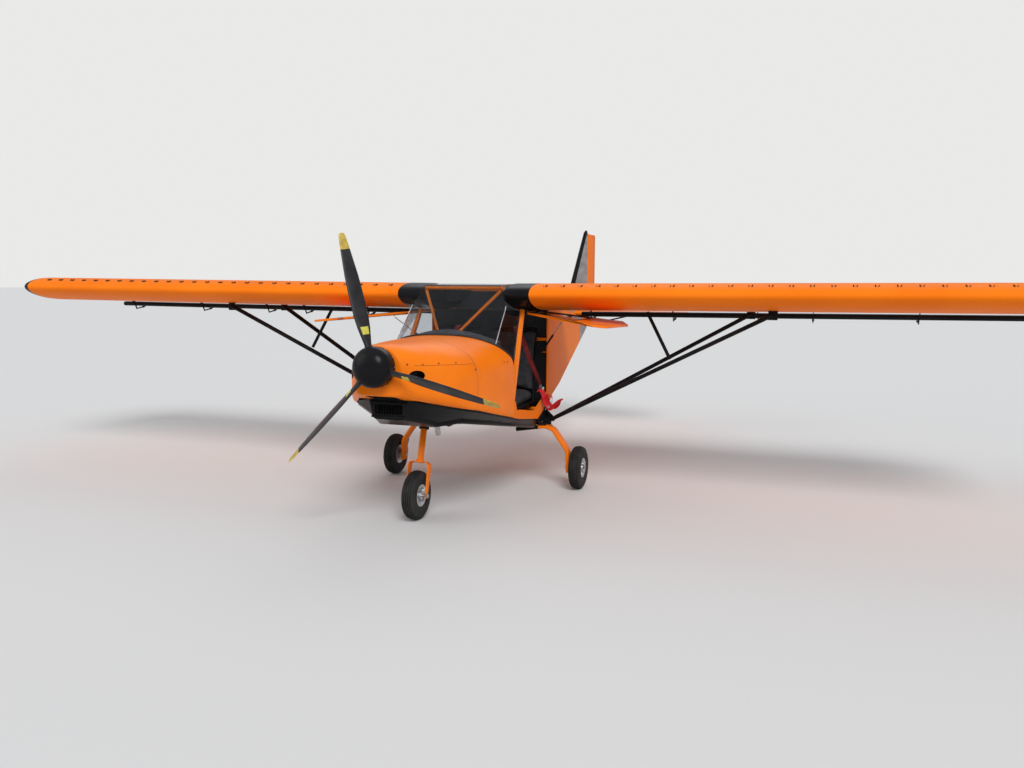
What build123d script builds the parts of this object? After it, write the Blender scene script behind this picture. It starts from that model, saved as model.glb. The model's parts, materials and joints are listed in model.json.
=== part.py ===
"""Two-seat high-wing microlight aircraft on a nose-wheel undercarriage, both cabin doors open.

Millimetres. X points to the left wing, Y points aft, Z points up from the ground.
Stations along Y are measured from the wing's leading edge; build() moves the whole
aircraft so that Y = 0 is midway between the spinner's tip and the rudder's trailing edge.
"""
import math
import os

from build123d import *

# Wing
HALF_SPAN = 4490.0
WING_CHORD = 1170.0
WING_NOSE_Z = 1570.0
WING_INCIDENCE = 3.8
WING_DIHEDRAL = 0.0073
WING_CREST = 351.0
WING_UPPER = 105.0
WING_LOWER = 100.0
WING_EDGE = 12.0
WING_SKIN = 1.0
ROOT_INNER_X = 325.0
ROOT_OUTER_X = 545.0
TIP_WIDTH = 90.0

# Flaperons, hung below and behind the wing
FLAPERON_INNER_X = 640.0
FLAPERON_OUTER_X = 4400.0
FLAPERON_CHORD = 280.0
FLAPERON_LEAD = 75.0
FLAPERON_THICK = 46.0
FLAPERON_HINGE_Y = 1275.0
FLAPERON_HINGE_Z = 1352.0
FLAPERON_RISE = 34.0
HANGER_X = (740.0, 1450.0, 2142.0, 2571.0, 3350.0, 4215.0)
HANGER_WIDTH = 6.0
HANGER_ROOT = (1085.0, 1140.0)

# Hanger's hook from the hinge line, as (y, z) offsets
HANGER_HOOK = ((-92.0, 12.0), (-86.0, -9.0), (0.0, 5.0), (0.0, -7.0), (-92.0, -21.0), (-107.0, 10.0))

# Cabin and fuselage
CABIN_HALF = 520.0
WALL = 10.0
SKIN = 1.5
FIREWALL_Y = -800.0
SCREEN_BASE_Y = -390.0
DECK_TOP_Z = 1275.0
SCREEN_CORNER_Y = -213.0
SCREEN_CORNER_Z = 1080.0
POST_FOOT_Y = -240.0
REAR_POST_Y = 640.0
KINK_Y = 759.0
TAIL_Y = 3700.0
TAIL_HALF = 40.0
TAIL_BOTTOM_Z = 1140.0
TAIL_TOP_Z = 1300.0
FLAT_TOP_Y = 2860.0
CABIN_TOP_Z = 1440.0
DECK_AFT_Z = 1478.0
DECK_END_Y = 1520.0

# Lower edge of the orange side and bottom of the black belly, as (y, z)
SIDE_LOW = ((-800.0, 795.0), (-350.0, 690.0), (-100.0, 640.0), (339.0, 579.0))
KINK_Z = 720.0
BELLY_FRONT_Z = 700.0
BELLY_LOW_Y = 400.0
BELLY_LOW_Z = 490.0
BELLY_WALL = 4.0
SEAM = 0.8

# Door opening, as (y, z), starting at the front post's foot and running aft
DOOR_CORNERS = ((-205.0, 790.0), (-170.0, 717.0), (258.0, 658.0), (590.0, 770.0))
POST_TOP = (435.0, 190.0, 1450.0)
POST_SIZE = 32.0

# Nose: y, half width, lowest z, shoulder z, corner x, corner z, top z
NOSE_SECTIONS = (
    (-1364.0, 168.0, 942.0, 1080.0, 95.0, 1215.0, 1258.0),
    (-1315.0, 216.0, 926.0, 1070.0, 120.0, 1222.0, 1268.0),
    (-1150.0, 314.0, 880.0, 1040.0, 190.0, 1222.0, 1272.0),
    (-1000.0, 396.0, 840.0, 1010.0, 250.0, 1222.0, 1274.0),
    (-800.0, 455.0, 795.0, 985.0, 300.0, 1222.0, 1275.0),
)
DECK_SECTIONS = (
    (-800.0, 455.0, 795.0, 985.0, 300.0, 1222.0, 1275.0),
    (-350.0, 515.0, 690.0, 985.0, 365.0, 1222.0, 1275.0),
    (-240.0, 520.0, 668.0, 990.0, 375.0, 1222.0, 1275.0),
)
COWL_WALL = 3.0
SHAFT_HOLE_R = 60.0
AIR_HOLE_X = 230.0
AIR_HOLE_Z = 1072.0
AIR_HOLE_R = 42.0

# Chin below the cowl: y, top half width, bottom half width, top z, bottom z
CHIN_SECTIONS = (
    (-1230.0, 140.0, 125.0, 898.0, 772.0),
    (-1120.0, 330.0, 165.0, 866.0, 745.0),
    (-950.0, 408.0, 250.0, 826.0, 688.0),
    (-800.0, 452.0, 380.0, 792.0, 697.0),
)
SCOOP_HALF = 105.0
SCOOP_TOP_Z = 936.0
SCOOP_FRONT_Y = -1238.0

# Tail
FIN_BASE_Y = 2870.0
FIN_TOP_Y = 3735.0
FIN_POST_Y = 3790.0
FIN_TOP_Z = 2270.0
FIN_THICK = 60.0
RUDDER_CHORD = 390.0
RUDDER_GAP = 12.0
RUDDER_PIN_R = 9.0
RUDDER_PIN_BACK = 16.0
STAB_HALF_SPAN = 1240.0
STAB_FRONT_Y = 3150.0
STAB_CHORD = 430.0
STAB_THICK = 55.0
STAB_Z = TAIL_TOP_Z + STAB_THICK / 2 + 0.3
ELEVATOR_CHORD = 330.0
ELEVATOR_GAP = 12.0
ELEVATOR_TUBE_R = 10.0
ELEVATOR_TUBE_BACK = 14.0
TAIL_SKIN = 1.5

# Undercarriage
TYRE_R = 175.0
TYRE_WIDTH = 100.0
TYRE_WALL = 9.0
RIM_R = 78.0
HUB_WIDTH = 76.0
AXLE_R = 12.5
BORE_CLEARANCE = 0.05
MAIN_X = 823.0
MAIN_Y = 484.5
LEAF_WIDTH = 90.0
LEAF_THICK = 32.0
NOSE_Y = -826.0
FORK_CROWN = (-764.0, 399.0)
NOSE_LEG_TOP = (-690.0, 640.0)
NOSE_TUBE_R = 23.0
FORK_ARM_X = 72.0
FORK_ARM_THICK = 8.0

# Struts: wing ends and the shared lower end
STRUT_FOOT = (577.0, 547.0, 550.0)
STRUT_FRONT_TOP = (2308.0, 250.0)
STRUT_REAR_TOP = (2117.0, 775.0)
STRUT_LONG = 58.0
STRUT_SHORT = 32.0
STRUT_WALL = 2.5
STRUT_PLUG = 120.0
LUG_THICK = 8.0
LUG_SIZE = 66.0
LUG_SINK = 2.0
STRUT_SIDE = STRUT_LONG / 2 + LUG_THICK / 2 + 0.3
JURY_SHARE = 0.577
JURY_TOP = (1374.0, 400.0)
JURY_R = 13.0

# Propeller
HUB_Y = -1433.0
HUB_Z = 1132.0
THRUST_TILT = 4.2
PROP_R = 877.7
PROP_PHASE = 16.53
SPINNER_R = 131.0
SPINNER_LENGTH = 145.0
SPINNER_BACK = 40.0
# Shares of the spinner's radius and of its length, from the back edge to the tip
SPINNER_PROFILE = (
    (1.0, 0.0), (1.0, 0.0001), (0.97, 0.24), (0.88, 0.47),
    (0.72, 0.69), (0.5, 0.86), (0.26, 0.965), (0.0, 1.0),
)
BLADE_HOLE_R = 29.0

# Engine
ENGINE_SIZE = (370.0, 400.0, 220.0)
ENGINE_Y = -1040.0
ENGINE_Z = 1047.0

# Doors, hinged along the top, leaning outwards when shut and raised at rest
DOOR_HINGE_X = 474.0
DOOR_HINGE_Z = 1435.0
DOOR_HINGE_R = 5.0
DOOR_HINGE_RUN = (205.0, 425.0)
DOOR_THICK = 16.0
DOOR_GLASS = 3.0
DOOR_RAISED_TURN = 84.0
DOOR_LEAN = 6.0
DOOR_SHUT_TURN = DOOR_RAISED_TURN - DOOR_LEAN
STAY_POST = (476.0, 570.0, 1096.0)
STAY_DOOR_OUT = 262.0
STAY_DOOR_Y = 300.0
STAY_R = 8.0
STAY_ROD_R = 3.5

# Glazing, seats and small fittings
ROOF_AFT_Y = 1000.0
SCREEN_LOW_CORNER = (402.0, -331.0, 1211.0)
SCREEN_MID_CORNER = (385.0, -62.0, 1487.0)
SCREEN_MID_Y = -150.0
SCREEN_TOP_X = 322.0
SCREEN_TOP_Y = 26.0
SCREEN_TOP_Z = 1640.0
SCREEN_THICK = 3.0
PANEL_HALF = 430.0
PANEL_TOP_Z = 1225.0
SEAT_X = 245.0
SEAT_WIDTH = 430.0
RUDDER_LOW_Z = 1375.0
TAIL_SIDE_X = FIN_THICK / 2 + 0.3
ELEVATOR_INNER_X = 75.0
STAY_BODY = 255.0


def place(shape, at):
    """Return the shape moved by a 3-D offset."""
    return Pos(*at) * shape


def mirror_x(shape):
    """Return the shape reflected from the left side to the right side."""
    return mirror(shape, about=Plane.YZ)


def rod(start, end, radius):
    """Return a round bar between two points."""
    line = Vector(end) - Vector(start)
    plane = Plane(origin=start, z_dir=line)
    return extrude(plane * Circle(radius), line.length)


def tube(start, end, radius, wall):
    """Return a round tube between two points."""
    line = Vector(end) - Vector(start)
    plane = Plane(origin=start, z_dir=line)
    return extrude(plane * (Circle(radius) - Circle(radius - wall)), line.length)


def side_plate(points, x, thickness):
    """Return a plate of a (y, z) outline whose outer face lies at x, growing inwards."""
    outline = make_face(Polyline(*[(x, y, z) for y, z in points], close=True))
    return extrude(outline, -thickness, dir=(1, 0, 0))


def wing_height(y, side):
    """Return the wing section's upper (side=1) or lower (side=-1) height over its chord line at y."""
    half = WING_UPPER if side > 0 else WING_LOWER
    if y < WING_CREST:
        return half * math.sqrt(1 - ((WING_CREST - y) / WING_CREST) ** 2)
    share = (y - WING_CREST) / (WING_CHORD - WING_CREST)
    return half - (half - WING_EDGE / 2) * share ** 2


def wing_surface_z(x, y, side):
    """Return the height of the wing's skin at a station, allowing for incidence and dihedral."""
    slope = math.radians(WING_INCIDENCE)
    chord_z = WING_NOSE_Z - y * math.tan(slope) + abs(x) * WING_DIHEDRAL
    return chord_z + side * wing_height(y, side)


def wing_face(x, inset=0.0, squeeze=1.0, front=0.0):
    """Return the wing's section at x; squeeze thins it and front moves its nose back."""
    up = (WING_UPPER - inset) * squeeze
    down = (WING_LOWER - inset) * squeeze
    edge = (WING_EDGE / 2 - inset / 2) * squeeze
    nose = front + inset
    tail = WING_CHORD - 2 * inset - front * 0.3
    upper_mid = (WING_CREST + (tail - WING_CREST) * 0.5, up - (up - edge) * 0.25)
    lower_mid = (WING_CREST + (tail - WING_CREST) * 0.5, -down + (down - edge) * 0.25)
    outline = [
        EllipticalCenterArc((WING_CREST, 0), WING_CREST - nose, up, 90, arc_size=90),
        EllipticalCenterArc((WING_CREST, 0), WING_CREST - nose, down, 180, arc_size=90),
        ThreePointArc((WING_CREST, -down), lower_mid, (tail, -edge)),
        Line((tail, -edge), (tail, edge)),
        ThreePointArc((tail, edge), upper_mid, (WING_CREST, up)),
    ]
    origin = (x, 0, WING_NOSE_Z + x * WING_DIHEDRAL)
    slope = math.radians(WING_INCIDENCE)
    chord_line = (0, math.cos(slope), -math.sin(slope))
    return Plane(origin=origin, x_dir=chord_line, z_dir=(1, 0, WING_DIHEDRAL)) * make_face(outline)


def wing_span(inner_x, outer_x, skin):
    """Return a hollow length of wing between two stations of the left side."""
    run = outer_x - inner_x
    shell = extrude(wing_face(inner_x), run, dir=(1, 0, WING_DIHEDRAL))
    inside_face = wing_face(inner_x + skin, skin)
    hollow = extrude(inside_face, run - 2 * skin, dir=(1, 0, WING_DIHEDRAL))
    return shell - hollow


def strut_lug(top, grow):
    """Return the plate below the wing that a strut's forked end takes, grown by a clearance."""
    x, y = top
    size = LUG_SIZE + 2 * grow
    plate = Box(size, LUG_THICK + 2 * grow, size, align=(Align.CENTER, Align.CENTER, Align.MAX))
    return place(plate, (x, y, wing_surface_z(x, y, -1) - LUG_SINK + grow))


def root_fairing():
    """Return the left wing root's fairing, with a rounded inner end."""
    length = 40.0
    body = wing_span(ROOT_INNER_X + length, ROOT_OUTER_X, 2.0)
    cap = loft(
        [
            wing_face(ROOT_INNER_X, squeeze=0.72, front=34.0),
            wing_face(ROOT_INNER_X + length * 0.35, squeeze=0.92, front=9.0),
            wing_face(ROOT_INNER_X + length),
        ]
    )
    return body + cap


def wing_tip():
    """Return the left wing's rounded tip cap."""
    start = HALF_SPAN - TIP_WIDTH
    stations = ((0.0, 1.0, 0.0), (0.5, 0.96, 5.0), (0.85, 0.8, 26.0), (1.0, 0.52, 75.0))
    outer = loft([wing_face(start + TIP_WIDTH * s, 0, q, f) for s, q, f in stations])
    inner = loft([wing_face(start + 2 + (TIP_WIDTH - 8) * s, 3, q, f + 2) for s, q, f in stations])
    return outer - inner


def flaperon_body(inner_x, outer_x, inset):
    """Return the flaperon's solid between two stations, its walls moved inwards by an inset."""
    nose = FLAPERON_THICK / 2
    front = FLAPERON_HINGE_Y - FLAPERON_LEAD
    rear = front + FLAPERON_CHORD - inset * 12
    deep = nose - inset
    edge = 2 - inset / 2
    outline = [
        ThreePointArc((front + nose, deep), (front + inset, 0), (front + nose, -deep)),
        Line((front + nose, -deep), (front + 110, -deep)),
        Line((front + 110, -deep), (rear, -edge)),
        Line((rear, -edge), (rear, edge)),
        Line((rear, edge), (front + 110, deep)),
        Line((front + 110, deep), (front + nose, deep)),
    ]
    base_z = FLAPERON_HINGE_Z + FLAPERON_RISE + inner_x * WING_DIHEDRAL
    plane = Plane(origin=(inner_x, 0, base_z), x_dir=(0, 1, 0), z_dir=(1, 0, 0))
    return extrude(plane * make_face(outline), outer_x - inner_x, dir=(1, 0, WING_DIHEDRAL))


def flaperon():
    """Return the left flaperon, a thin symmetric aerofoil along its hinge line."""
    body = flaperon_body(FLAPERON_INNER_X, FLAPERON_OUTER_X, 0.0)
    body -= flaperon_body(FLAPERON_INNER_X + 2, FLAPERON_OUTER_X - 2, WING_SKIN)
    for x in HANGER_X:
        y = FLAPERON_HINGE_Y
        z = FLAPERON_HINGE_Z + x * WING_DIHEDRAL
        horn = [(y - 9, z + 2), (y - 5, z - 9), (y + 6, z - 8), (y + 56, z + 16), (y + 28, z + 16)]
        for offset in (-HANGER_WIDTH - 0.3, HANGER_WIDTH + 0.3):
            body += side_plate(horn, x + offset + HANGER_WIDTH / 2, HANGER_WIDTH)
    return body


def flaperon_hangers():
    """Return the left wing's hangers, thin plates that reach down to the flaperon's hinge line."""
    plates = []
    for x in HANGER_X:
        hinge_y = FLAPERON_HINGE_Y
        hinge_z = FLAPERON_HINGE_Z + x * WING_DIHEDRAL
        root = [(y, wing_surface_z(x, y, -1) - 3) for y in HANGER_ROOT]
        points = root + [(hinge_y + dy, hinge_z + dz) for dy, dz in HANGER_HOOK]
        plate = side_plate(points, x + HANGER_WIDTH / 2, HANGER_WIDTH)
        half = HANGER_WIDTH / 2
        plates.append(plate + rod((x - half, hinge_y, hinge_z), (x + half, hinge_y, hinge_z), 9))
    return Compound(plates)


def nose_face(section, inset=0.0):
    """Return one closed section of the nose: flat floor, upright sides, round corners, crowned top."""
    y, half, low, shoulder, corner_x, corner_z, top = section
    half -= inset
    corner_x -= inset
    corner_z -= inset
    top -= inset
    low -= inset * 2
    mid_x = corner_x + (half - corner_x) * math.cos(math.pi / 4)
    mid_z = shoulder + (corner_z - shoulder) * math.sin(math.pi / 4)
    outline = [
        Line((-half, y, low), (half, y, low)),
        Line((half, y, low), (half, y, shoulder)),
        ThreePointArc((half, y, shoulder), (mid_x, y, mid_z), (corner_x, y, corner_z)),
        ThreePointArc((corner_x, y, corner_z), (0, y, top), (-corner_x, y, corner_z)),
        ThreePointArc((-corner_x, y, corner_z), (-mid_x, y, mid_z), (-half, y, shoulder)),
        Line((-half, y, shoulder), (-half, y, low)),
    ]
    return make_face(outline)


def cowl_upper():
    """Return the orange engine cowl with its round air holes and the propeller shaft's hole."""
    outer = loft([nose_face(s) for s in NOSE_SECTIONS])
    inner_sections = [(s[0] + (COWL_WALL if i == 0 else 0),) + s[1:] for i, s in enumerate(NOSE_SECTIONS)]
    cowl = outer - loft([nose_face(s, COWL_WALL) for s in inner_sections])
    for x in (-AIR_HOLE_X, AIR_HOLE_X):
        cowl -= rod((x, -1500, AIR_HOLE_Z), (x, -1180, AIR_HOLE_Z), AIR_HOLE_R)
    cowl -= rod((0, -1500, HUB_Z), (0, -1300, HUB_Z), SHAFT_HOLE_R)
    notch = Box(2 * SCOOP_HALF + 14, 300, 200, align=(Align.CENTER, Align.MAX, Align.MAX))
    return cowl - place(notch, (0, SCOOP_FRONT_Y, SCOOP_TOP_Z))


def chin_face(section, inset=0.0):
    """Return one section of the chin, a trough that narrows towards its floor."""
    y, top_half, low_half, top, low = section
    points = [
        (-low_half + inset, y, low + inset),
        (low_half - inset, y, low + inset),
        (top_half - inset, y, top + inset),
        (-top_half + inset, y, top + inset),
    ]
    return make_face(Polyline(*points, close=True))


def cowl_lower():
    """Return the black chin with its air scoop below the spinner."""
    outer = loft([chin_face(s) for s in CHIN_SECTIONS], ruled=True)
    first, *rest = CHIN_SECTIONS
    inside = [(first[0] + COWL_WALL,) + first[1:]] + list(rest)
    chin = outer - loft([chin_face(s, COWL_WALL) for s in inside], ruled=True)
    mouth = Box(2 * SCOOP_HALF - 10, 60, 66)
    return chin - place(mouth, (0, first[0], 836))


def screen_plane_cut():
    """Return a large block above the plane that the windscreen's lower edge lies in."""
    slope = math.atan2(DECK_TOP_Z - SCREEN_CORNER_Z, SCREEN_CORNER_Y - SCREEN_BASE_Y)
    block = Box(1400, 1400, 1400, align=(Align.CENTER, Align.MIN, Align.MIN))
    turned = Rot(X=-math.degrees(slope)) * block
    return place(turned, (0, SCREEN_BASE_Y, DECK_TOP_Z))


def front_fuselage():
    """Return the orange deck and sides between the firewall and the windscreen."""
    outer = loft([nose_face(s) for s in DECK_SECTIONS])
    inner = loft([nose_face(s, COWL_WALL) for s in DECK_SECTIONS])
    return outer - inner - screen_plane_cut()


def firewall():
    """Return the plate between the engine bay and the cabin."""
    section = (FIREWALL_Y,) + DECK_SECTIONS[0][1:]
    return extrude(nose_face(section, COWL_WALL + 0.5), 4, dir=(0, 1, 0))


def side_low_z(y):
    """Return the height of the orange side's lower edge at a station."""
    points = SIDE_LOW + ((KINK_Y, KINK_Z),)
    for (y0, z0), (y1, z1) in zip(points, points[1:]):
        if y <= y1:
            return z0 + (z1 - z0) * (y - y0) / (y1 - y0)
    return KINK_Z


def side_panel():
    """Return the left side's orange frame round the door opening."""
    low = [(POST_FOOT_Y, side_low_z(POST_FOOT_Y))] + [p for p in SIDE_LOW if p[0] > POST_FOOT_Y]
    rear = [(REAR_POST_Y, side_low_z(REAR_POST_Y)), (REAR_POST_Y, CABIN_TOP_Z)]
    door_rear = DOOR_CORNERS[-1]
    inner = [(door_rear[0], CABIN_TOP_Z)] + list(reversed(DOOR_CORNERS)) + [(POST_FOOT_Y, 790.0)]
    x, y, z = STAY_POST
    back = door_rear[0] + 8
    stud = rod((x, y + 5, z), (x, back + 8, z), 5.5) + rod((x, back, z), (CABIN_HALF - 2, back, z), 4.5)
    return side_plate(low + rear + inner, CABIN_HALF, WALL) + stud


def belly_z(y):
    """Return the height of the belly's underside ahead of its lowest station."""
    slope = (BELLY_LOW_Z - BELLY_FRONT_Z) / (BELLY_LOW_Y - FIREWALL_Y)
    return BELLY_FRONT_Z + (y - FIREWALL_Y) * slope


def belly_plan(inset):
    """Return an upright block of the belly's plan, which narrows forward to the firewall."""
    half = [(row[0], row[1] - 2 - inset) for row in DECK_SECTIONS]
    half.append((KINK_Y, CABIN_HALF - 2 - inset))
    points = [(x, y) for y, x in half] + [(-x, y) for y, x in reversed(half)]
    return wedge(points, BELLY_LOW_Z - 10, 400)


def belly():
    """Return the black belly tray, open at its top."""
    top = [(y, z - SEAM) for y, z in SIDE_LOW] + [(KINK_Y, KINK_Z - SEAM)]
    bottom = [(KINK_Y, KINK_Z - 20), (BELLY_LOW_Y, BELLY_LOW_Z), (FIREWALL_Y, BELLY_FRONT_Z)]
    outer = side_plate(top + bottom, CABIN_HALF, 2 * CABIN_HALF) & belly_plan(0.0)
    inner_top = [(y, z + 5) for y, z in top]
    inner_bottom = [
        (KINK_Y, KINK_Z - 18),
        (BELLY_LOW_Y, BELLY_LOW_Z + BELLY_WALL),
        (FIREWALL_Y, BELLY_FRONT_Z + BELLY_WALL),
    ]
    inner = side_plate(inner_top + inner_bottom, CABIN_HALF, 2 * CABIN_HALF) & belly_plan(BELLY_WALL)
    firewall_room = place(Box(2 * CABIN_HALF, 8.6, 400), (0, FIREWALL_Y, BELLY_FRONT_Z))
    return outer - inner - firewall_room


def box_face(y, half, low, high):
    """Return an upright rectangle across the fuselage at a station."""
    points = [(-half, y, low), (half, y, low), (half, y, high), (-half, y, high)]
    return make_face(Polyline(*points, close=True))


def rear_rows():
    """Return the rear fuselage's stations as y, half width, lowest z and highest z."""
    flat_share = (FLAT_TOP_Y - WING_CHORD) / (TAIL_Y - WING_CHORD)
    aft_half = CABIN_HALF - 62
    aft_low = KINK_Z + (TAIL_BOTTOM_Z - KINK_Z) * (WING_CHORD - KINK_Y) / (TAIL_Y - KINK_Y)
    flat_half = aft_half + (TAIL_HALF - aft_half) * flat_share
    flat_low = aft_low + (TAIL_BOTTOM_Z - aft_low) * flat_share
    return (
        (REAR_POST_Y, CABIN_HALF, side_low_z(REAR_POST_Y), CABIN_TOP_Z),
        (KINK_Y, CABIN_HALF - 8, KINK_Z, CABIN_TOP_Z),
        (WING_CHORD, aft_half, aft_low, DECK_AFT_Z),
        (FLAT_TOP_Y, flat_half, flat_low, TAIL_TOP_Z),
        (TAIL_Y, TAIL_HALF, TAIL_BOTTOM_Z, TAIL_TOP_Z),
    )


def rear_top_z(y):
    """Return the height of the rear fuselage's top at a station."""
    rows = rear_rows()
    for (y0, _, _, z0), (y1, _, _, z1) in zip(rows, rows[1:]):
        if y <= y1:
            return z0 + (z1 - z0) * (y - y0) / (y1 - y0)
    return TAIL_TOP_Z


def rear_fuselage():
    """Return the flat-sided rear fuselage, a closed thin shell that tapers to the tail."""
    rows = rear_rows()
    outer = loft([box_face(*r) for r in rows], ruled=True)
    inner_rows = []
    for i, (y, half, low, high) in enumerate(rows):
        shift = SKIN if i == 0 else (-SKIN if i == len(rows) - 1 else 0)
        inner_rows.append((y + shift, half - SKIN, low + SKIN, high - SKIN))
    return outer - loft([box_face(*r) for r in inner_rows], ruled=True)


def turtle_deck():
    """Return the orange fairing between the wing roots behind the clear roof."""
    seat = 0.3
    base = [(y, rear_top_z(y) + seat) for y in (DECK_END_Y, WING_CHORD, ROOF_AFT_Y)]
    top = [(ROOF_AFT_Y, 1596), (WING_CHORD + 10, 1578)]
    outer = side_plate(base + top, ROOT_INNER_X - 3, 2 * (ROOT_INNER_X - 3))
    inner_base = [(y, z + 3) for y, z in ((DECK_END_Y - 40, rear_top_z(DECK_END_Y - 40)), base[1])]
    inner_base.append((ROOF_AFT_Y + 2, rear_top_z(ROOF_AFT_Y + 2) + 3))
    inner_top = [(ROOF_AFT_Y + 2, 1594), (WING_CHORD + 8, 1576)]
    return outer - side_plate(inner_base + inner_top, ROOT_INNER_X - 5, 2 * (ROOT_INNER_X - 5))


def strip(end, middle, thickness):
    """Return a thin flat face between an arc across the cabin and its copy moved inwards."""
    start = (-end[0], end[1], end[2])
    chord_middle = (Vector(*start) + Vector(*end)) * 0.5
    shift = (chord_middle - Vector(*middle)).normalized() * thickness
    outer = [Vector(*p) for p in (start, middle, end)]
    inner = [p + shift for p in outer]
    outline = [
        ThreePointArc(*outer),
        Line(outer[2], inner[2]),
        ThreePointArc(*reversed(inner)),
        Line(inner[0], outer[0]),
    ]
    return make_face(outline)


def windscreen():
    """Return the bowed front pane from the deck's edge up to the roof's cross tube."""
    top_end = (SCREEN_TOP_X, SCREEN_TOP_Y, SCREEN_TOP_Z)
    rows = (
        (SCREEN_LOW_CORNER, (0, SCREEN_BASE_Y + 1, DECK_TOP_Z + 2)),
        (SCREEN_MID_CORNER, (0, SCREEN_MID_Y, SCREEN_MID_CORNER[2])),
        (top_end, (0, SCREEN_TOP_Y - 6, SCREEN_TOP_Z)),
    )
    return loft([strip(end, middle, SCREEN_THICK) for end, middle in rows])


def quad_pane(front_low, front_high, rear_low, rear_high, thickness):
    """Return a ruled pane between a front edge and a rear edge, growing towards the cabin."""
    def edge_face(a, b):
        points = [a, b, (b[0] - thickness, b[1], b[2]), (a[0] - thickness, a[1], a[2])]
        return make_face(Polyline(*points, close=True))
    return loft([edge_face(front_low, front_high), edge_face(rear_low, rear_high)], ruled=True)


def quarter_window():
    """Return the left pane between the windscreen's bend and the front door post."""
    low_x, low_y, low_z = SCREEN_LOW_CORNER
    mid_x, mid_y, mid_z = SCREEN_MID_CORNER
    rear_low = (CABIN_HALF - 12, SCREEN_CORNER_Y - 14, SCREEN_CORNER_Z + 18)
    rear_high = (POST_TOP[0] - 4, POST_TOP[1] - 30, POST_TOP[2] - 14)
    front_low = (low_x + 15, low_y + 30, low_z)
    front_high = (mid_x + 17, mid_y + 30, mid_z)
    return quad_pane(front_low, front_high, rear_low, rear_high, SCREEN_THICK)


def roof_glass():
    """Return the clear roof sheet between the wing roots."""
    top = [(SCREEN_TOP_Y + 6, SCREEN_TOP_Z + 3), (WING_CREST, SCREEN_TOP_Z + 12), (ROOF_AFT_Y - 1, 1596)]
    low = [(y, z - 3) for y, z in reversed(top)]
    return side_plate(top + low, ROOT_INNER_X - 3, 2 * (ROOT_INNER_X - 3))


def door_posts():
    """Return the two leaning front door posts."""
    foot = (CABIN_HALF - WALL - POST_SIZE / 2 - 1, POST_FOOT_Y + 22, 745.0)
    line = Vector(*POST_TOP) - Vector(*foot)
    plane = Plane(origin=foot, x_dir=(1, 0, 0), z_dir=line)
    post = extrude(plane * RectangleRounded(POST_SIZE, POST_SIZE, 5), line.length)
    return Compound([post, mirror_x(post)])


def cabin_tubes():
    """Return the V of tubes behind the windscreen and the cross tubes of the roof and seats."""
    left = rod((40, -312, PANEL_TOP_Z + 8.8), (ROOT_INNER_X - 16, 34, 1597), 11)
    tubes = [left, mirror_x(left)]
    roof_reach = ROOT_INNER_X - 0.5
    seat_reach = CABIN_HALF - WALL - 0.3
    table = (  # reach, y, z
        (roof_reach, 52, 1618),
        (roof_reach, ROOF_AFT_Y - 30, 1560),
        (seat_reach, 90, 668),
        (seat_reach, 470, 640),
        (seat_reach, 615, 1200),
    )
    for reach, y, z in table:
        tubes.append(rod((-reach, y, z), (reach, y, z), 14))
    return Compound(tubes)


def instrument_panel():
    """Return the dashboard with its coaming."""
    outline = [
        Line((-PANEL_HALF, -330, 930), (PANEL_HALF, -330, 930)),
        Line((PANEL_HALF, -330, 930), (PANEL_HALF, -330, 1120)),
        ThreePointArc(
            (PANEL_HALF, -330, 1120), (PANEL_HALF - 45, -330, PANEL_TOP_Z - 40), (340, -330, PANEL_TOP_Z)
        ),
        Line((340, -330, PANEL_TOP_Z), (-340, -330, PANEL_TOP_Z)),
        ThreePointArc(
            (-340, -330, PANEL_TOP_Z), (-PANEL_HALF + 45, -330, PANEL_TOP_Z - 40), (-PANEL_HALF, -330, 1120)
        ),
        Line((-PANEL_HALF, -330, 1120), (-PANEL_HALF, -330, 930)),
    ]
    return extrude(make_face(outline), 60, dir=(0, 1, 0))


def seat():
    """Return the left seat's cushion and back."""
    profile = [
        (40, 690), (100, 682.5), (480, 654.5), (560, 700), (600, 1240),
        (560, 1290), (510, 1270), (440, 790), (60, 765), (30, 740),
    ]
    return side_plate(profile, SEAT_X + SEAT_WIDTH / 2, SEAT_WIDTH)


def control_stick():
    """Return the stick between the seats."""
    foot_y = -30.0
    stem = rod((0, foot_y, belly_z(foot_y) + BELLY_WALL + 2.6), (0, foot_y - 20, 900), 11)
    return stem + rod((0, foot_y - 20, 880), (0, foot_y - 26, 1000), 16)


def lap_belt():
    """Return the plain solid of the left seat's loose red lap belt, beside the cushion."""
    return place(Box(34, 130, 130), (SEAT_X + SEAT_WIDTH / 2 + 20, 330, 735))


def shoulder_belt():
    """Return the plain solid of the left shoulder belt."""
    start = Vector(380, 500, 1292)
    end = Vector(430, 300, 792)
    plane = Plane(origin=start, x_dir=(1, 0, 0), z_dir=end - start)
    return extrude(plane * Rectangle(48, 5), (end - start).length)


def streamline(start, end):
    """Return a solid strut of flattened section with its long axis fore and aft."""
    line = Vector(*end) - Vector(*start)
    plane = Plane(origin=start, x_dir=(0, 1, 0), z_dir=line)
    outer = extrude(plane * Ellipse(STRUT_LONG / 2, STRUT_SHORT / 2), line.length)
    plane.origin = Vector(*start) + line.normalized() * STRUT_PLUG
    core = plane * Ellipse(STRUT_LONG / 2 - STRUT_WALL, STRUT_SHORT / 2 - STRUT_WALL)
    return outer - extrude(core, line.length - 2 * STRUT_PLUG)


def strut_ends(top, foot_shift):
    """Return the lower and upper points of a strut that ends below its wing lug."""
    x, y = top
    foot = (STRUT_FOOT[0], STRUT_FOOT[1] + foot_shift, STRUT_FOOT[2])
    return foot, (x, y, wing_surface_z(x, y, -1) - 30)


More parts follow.
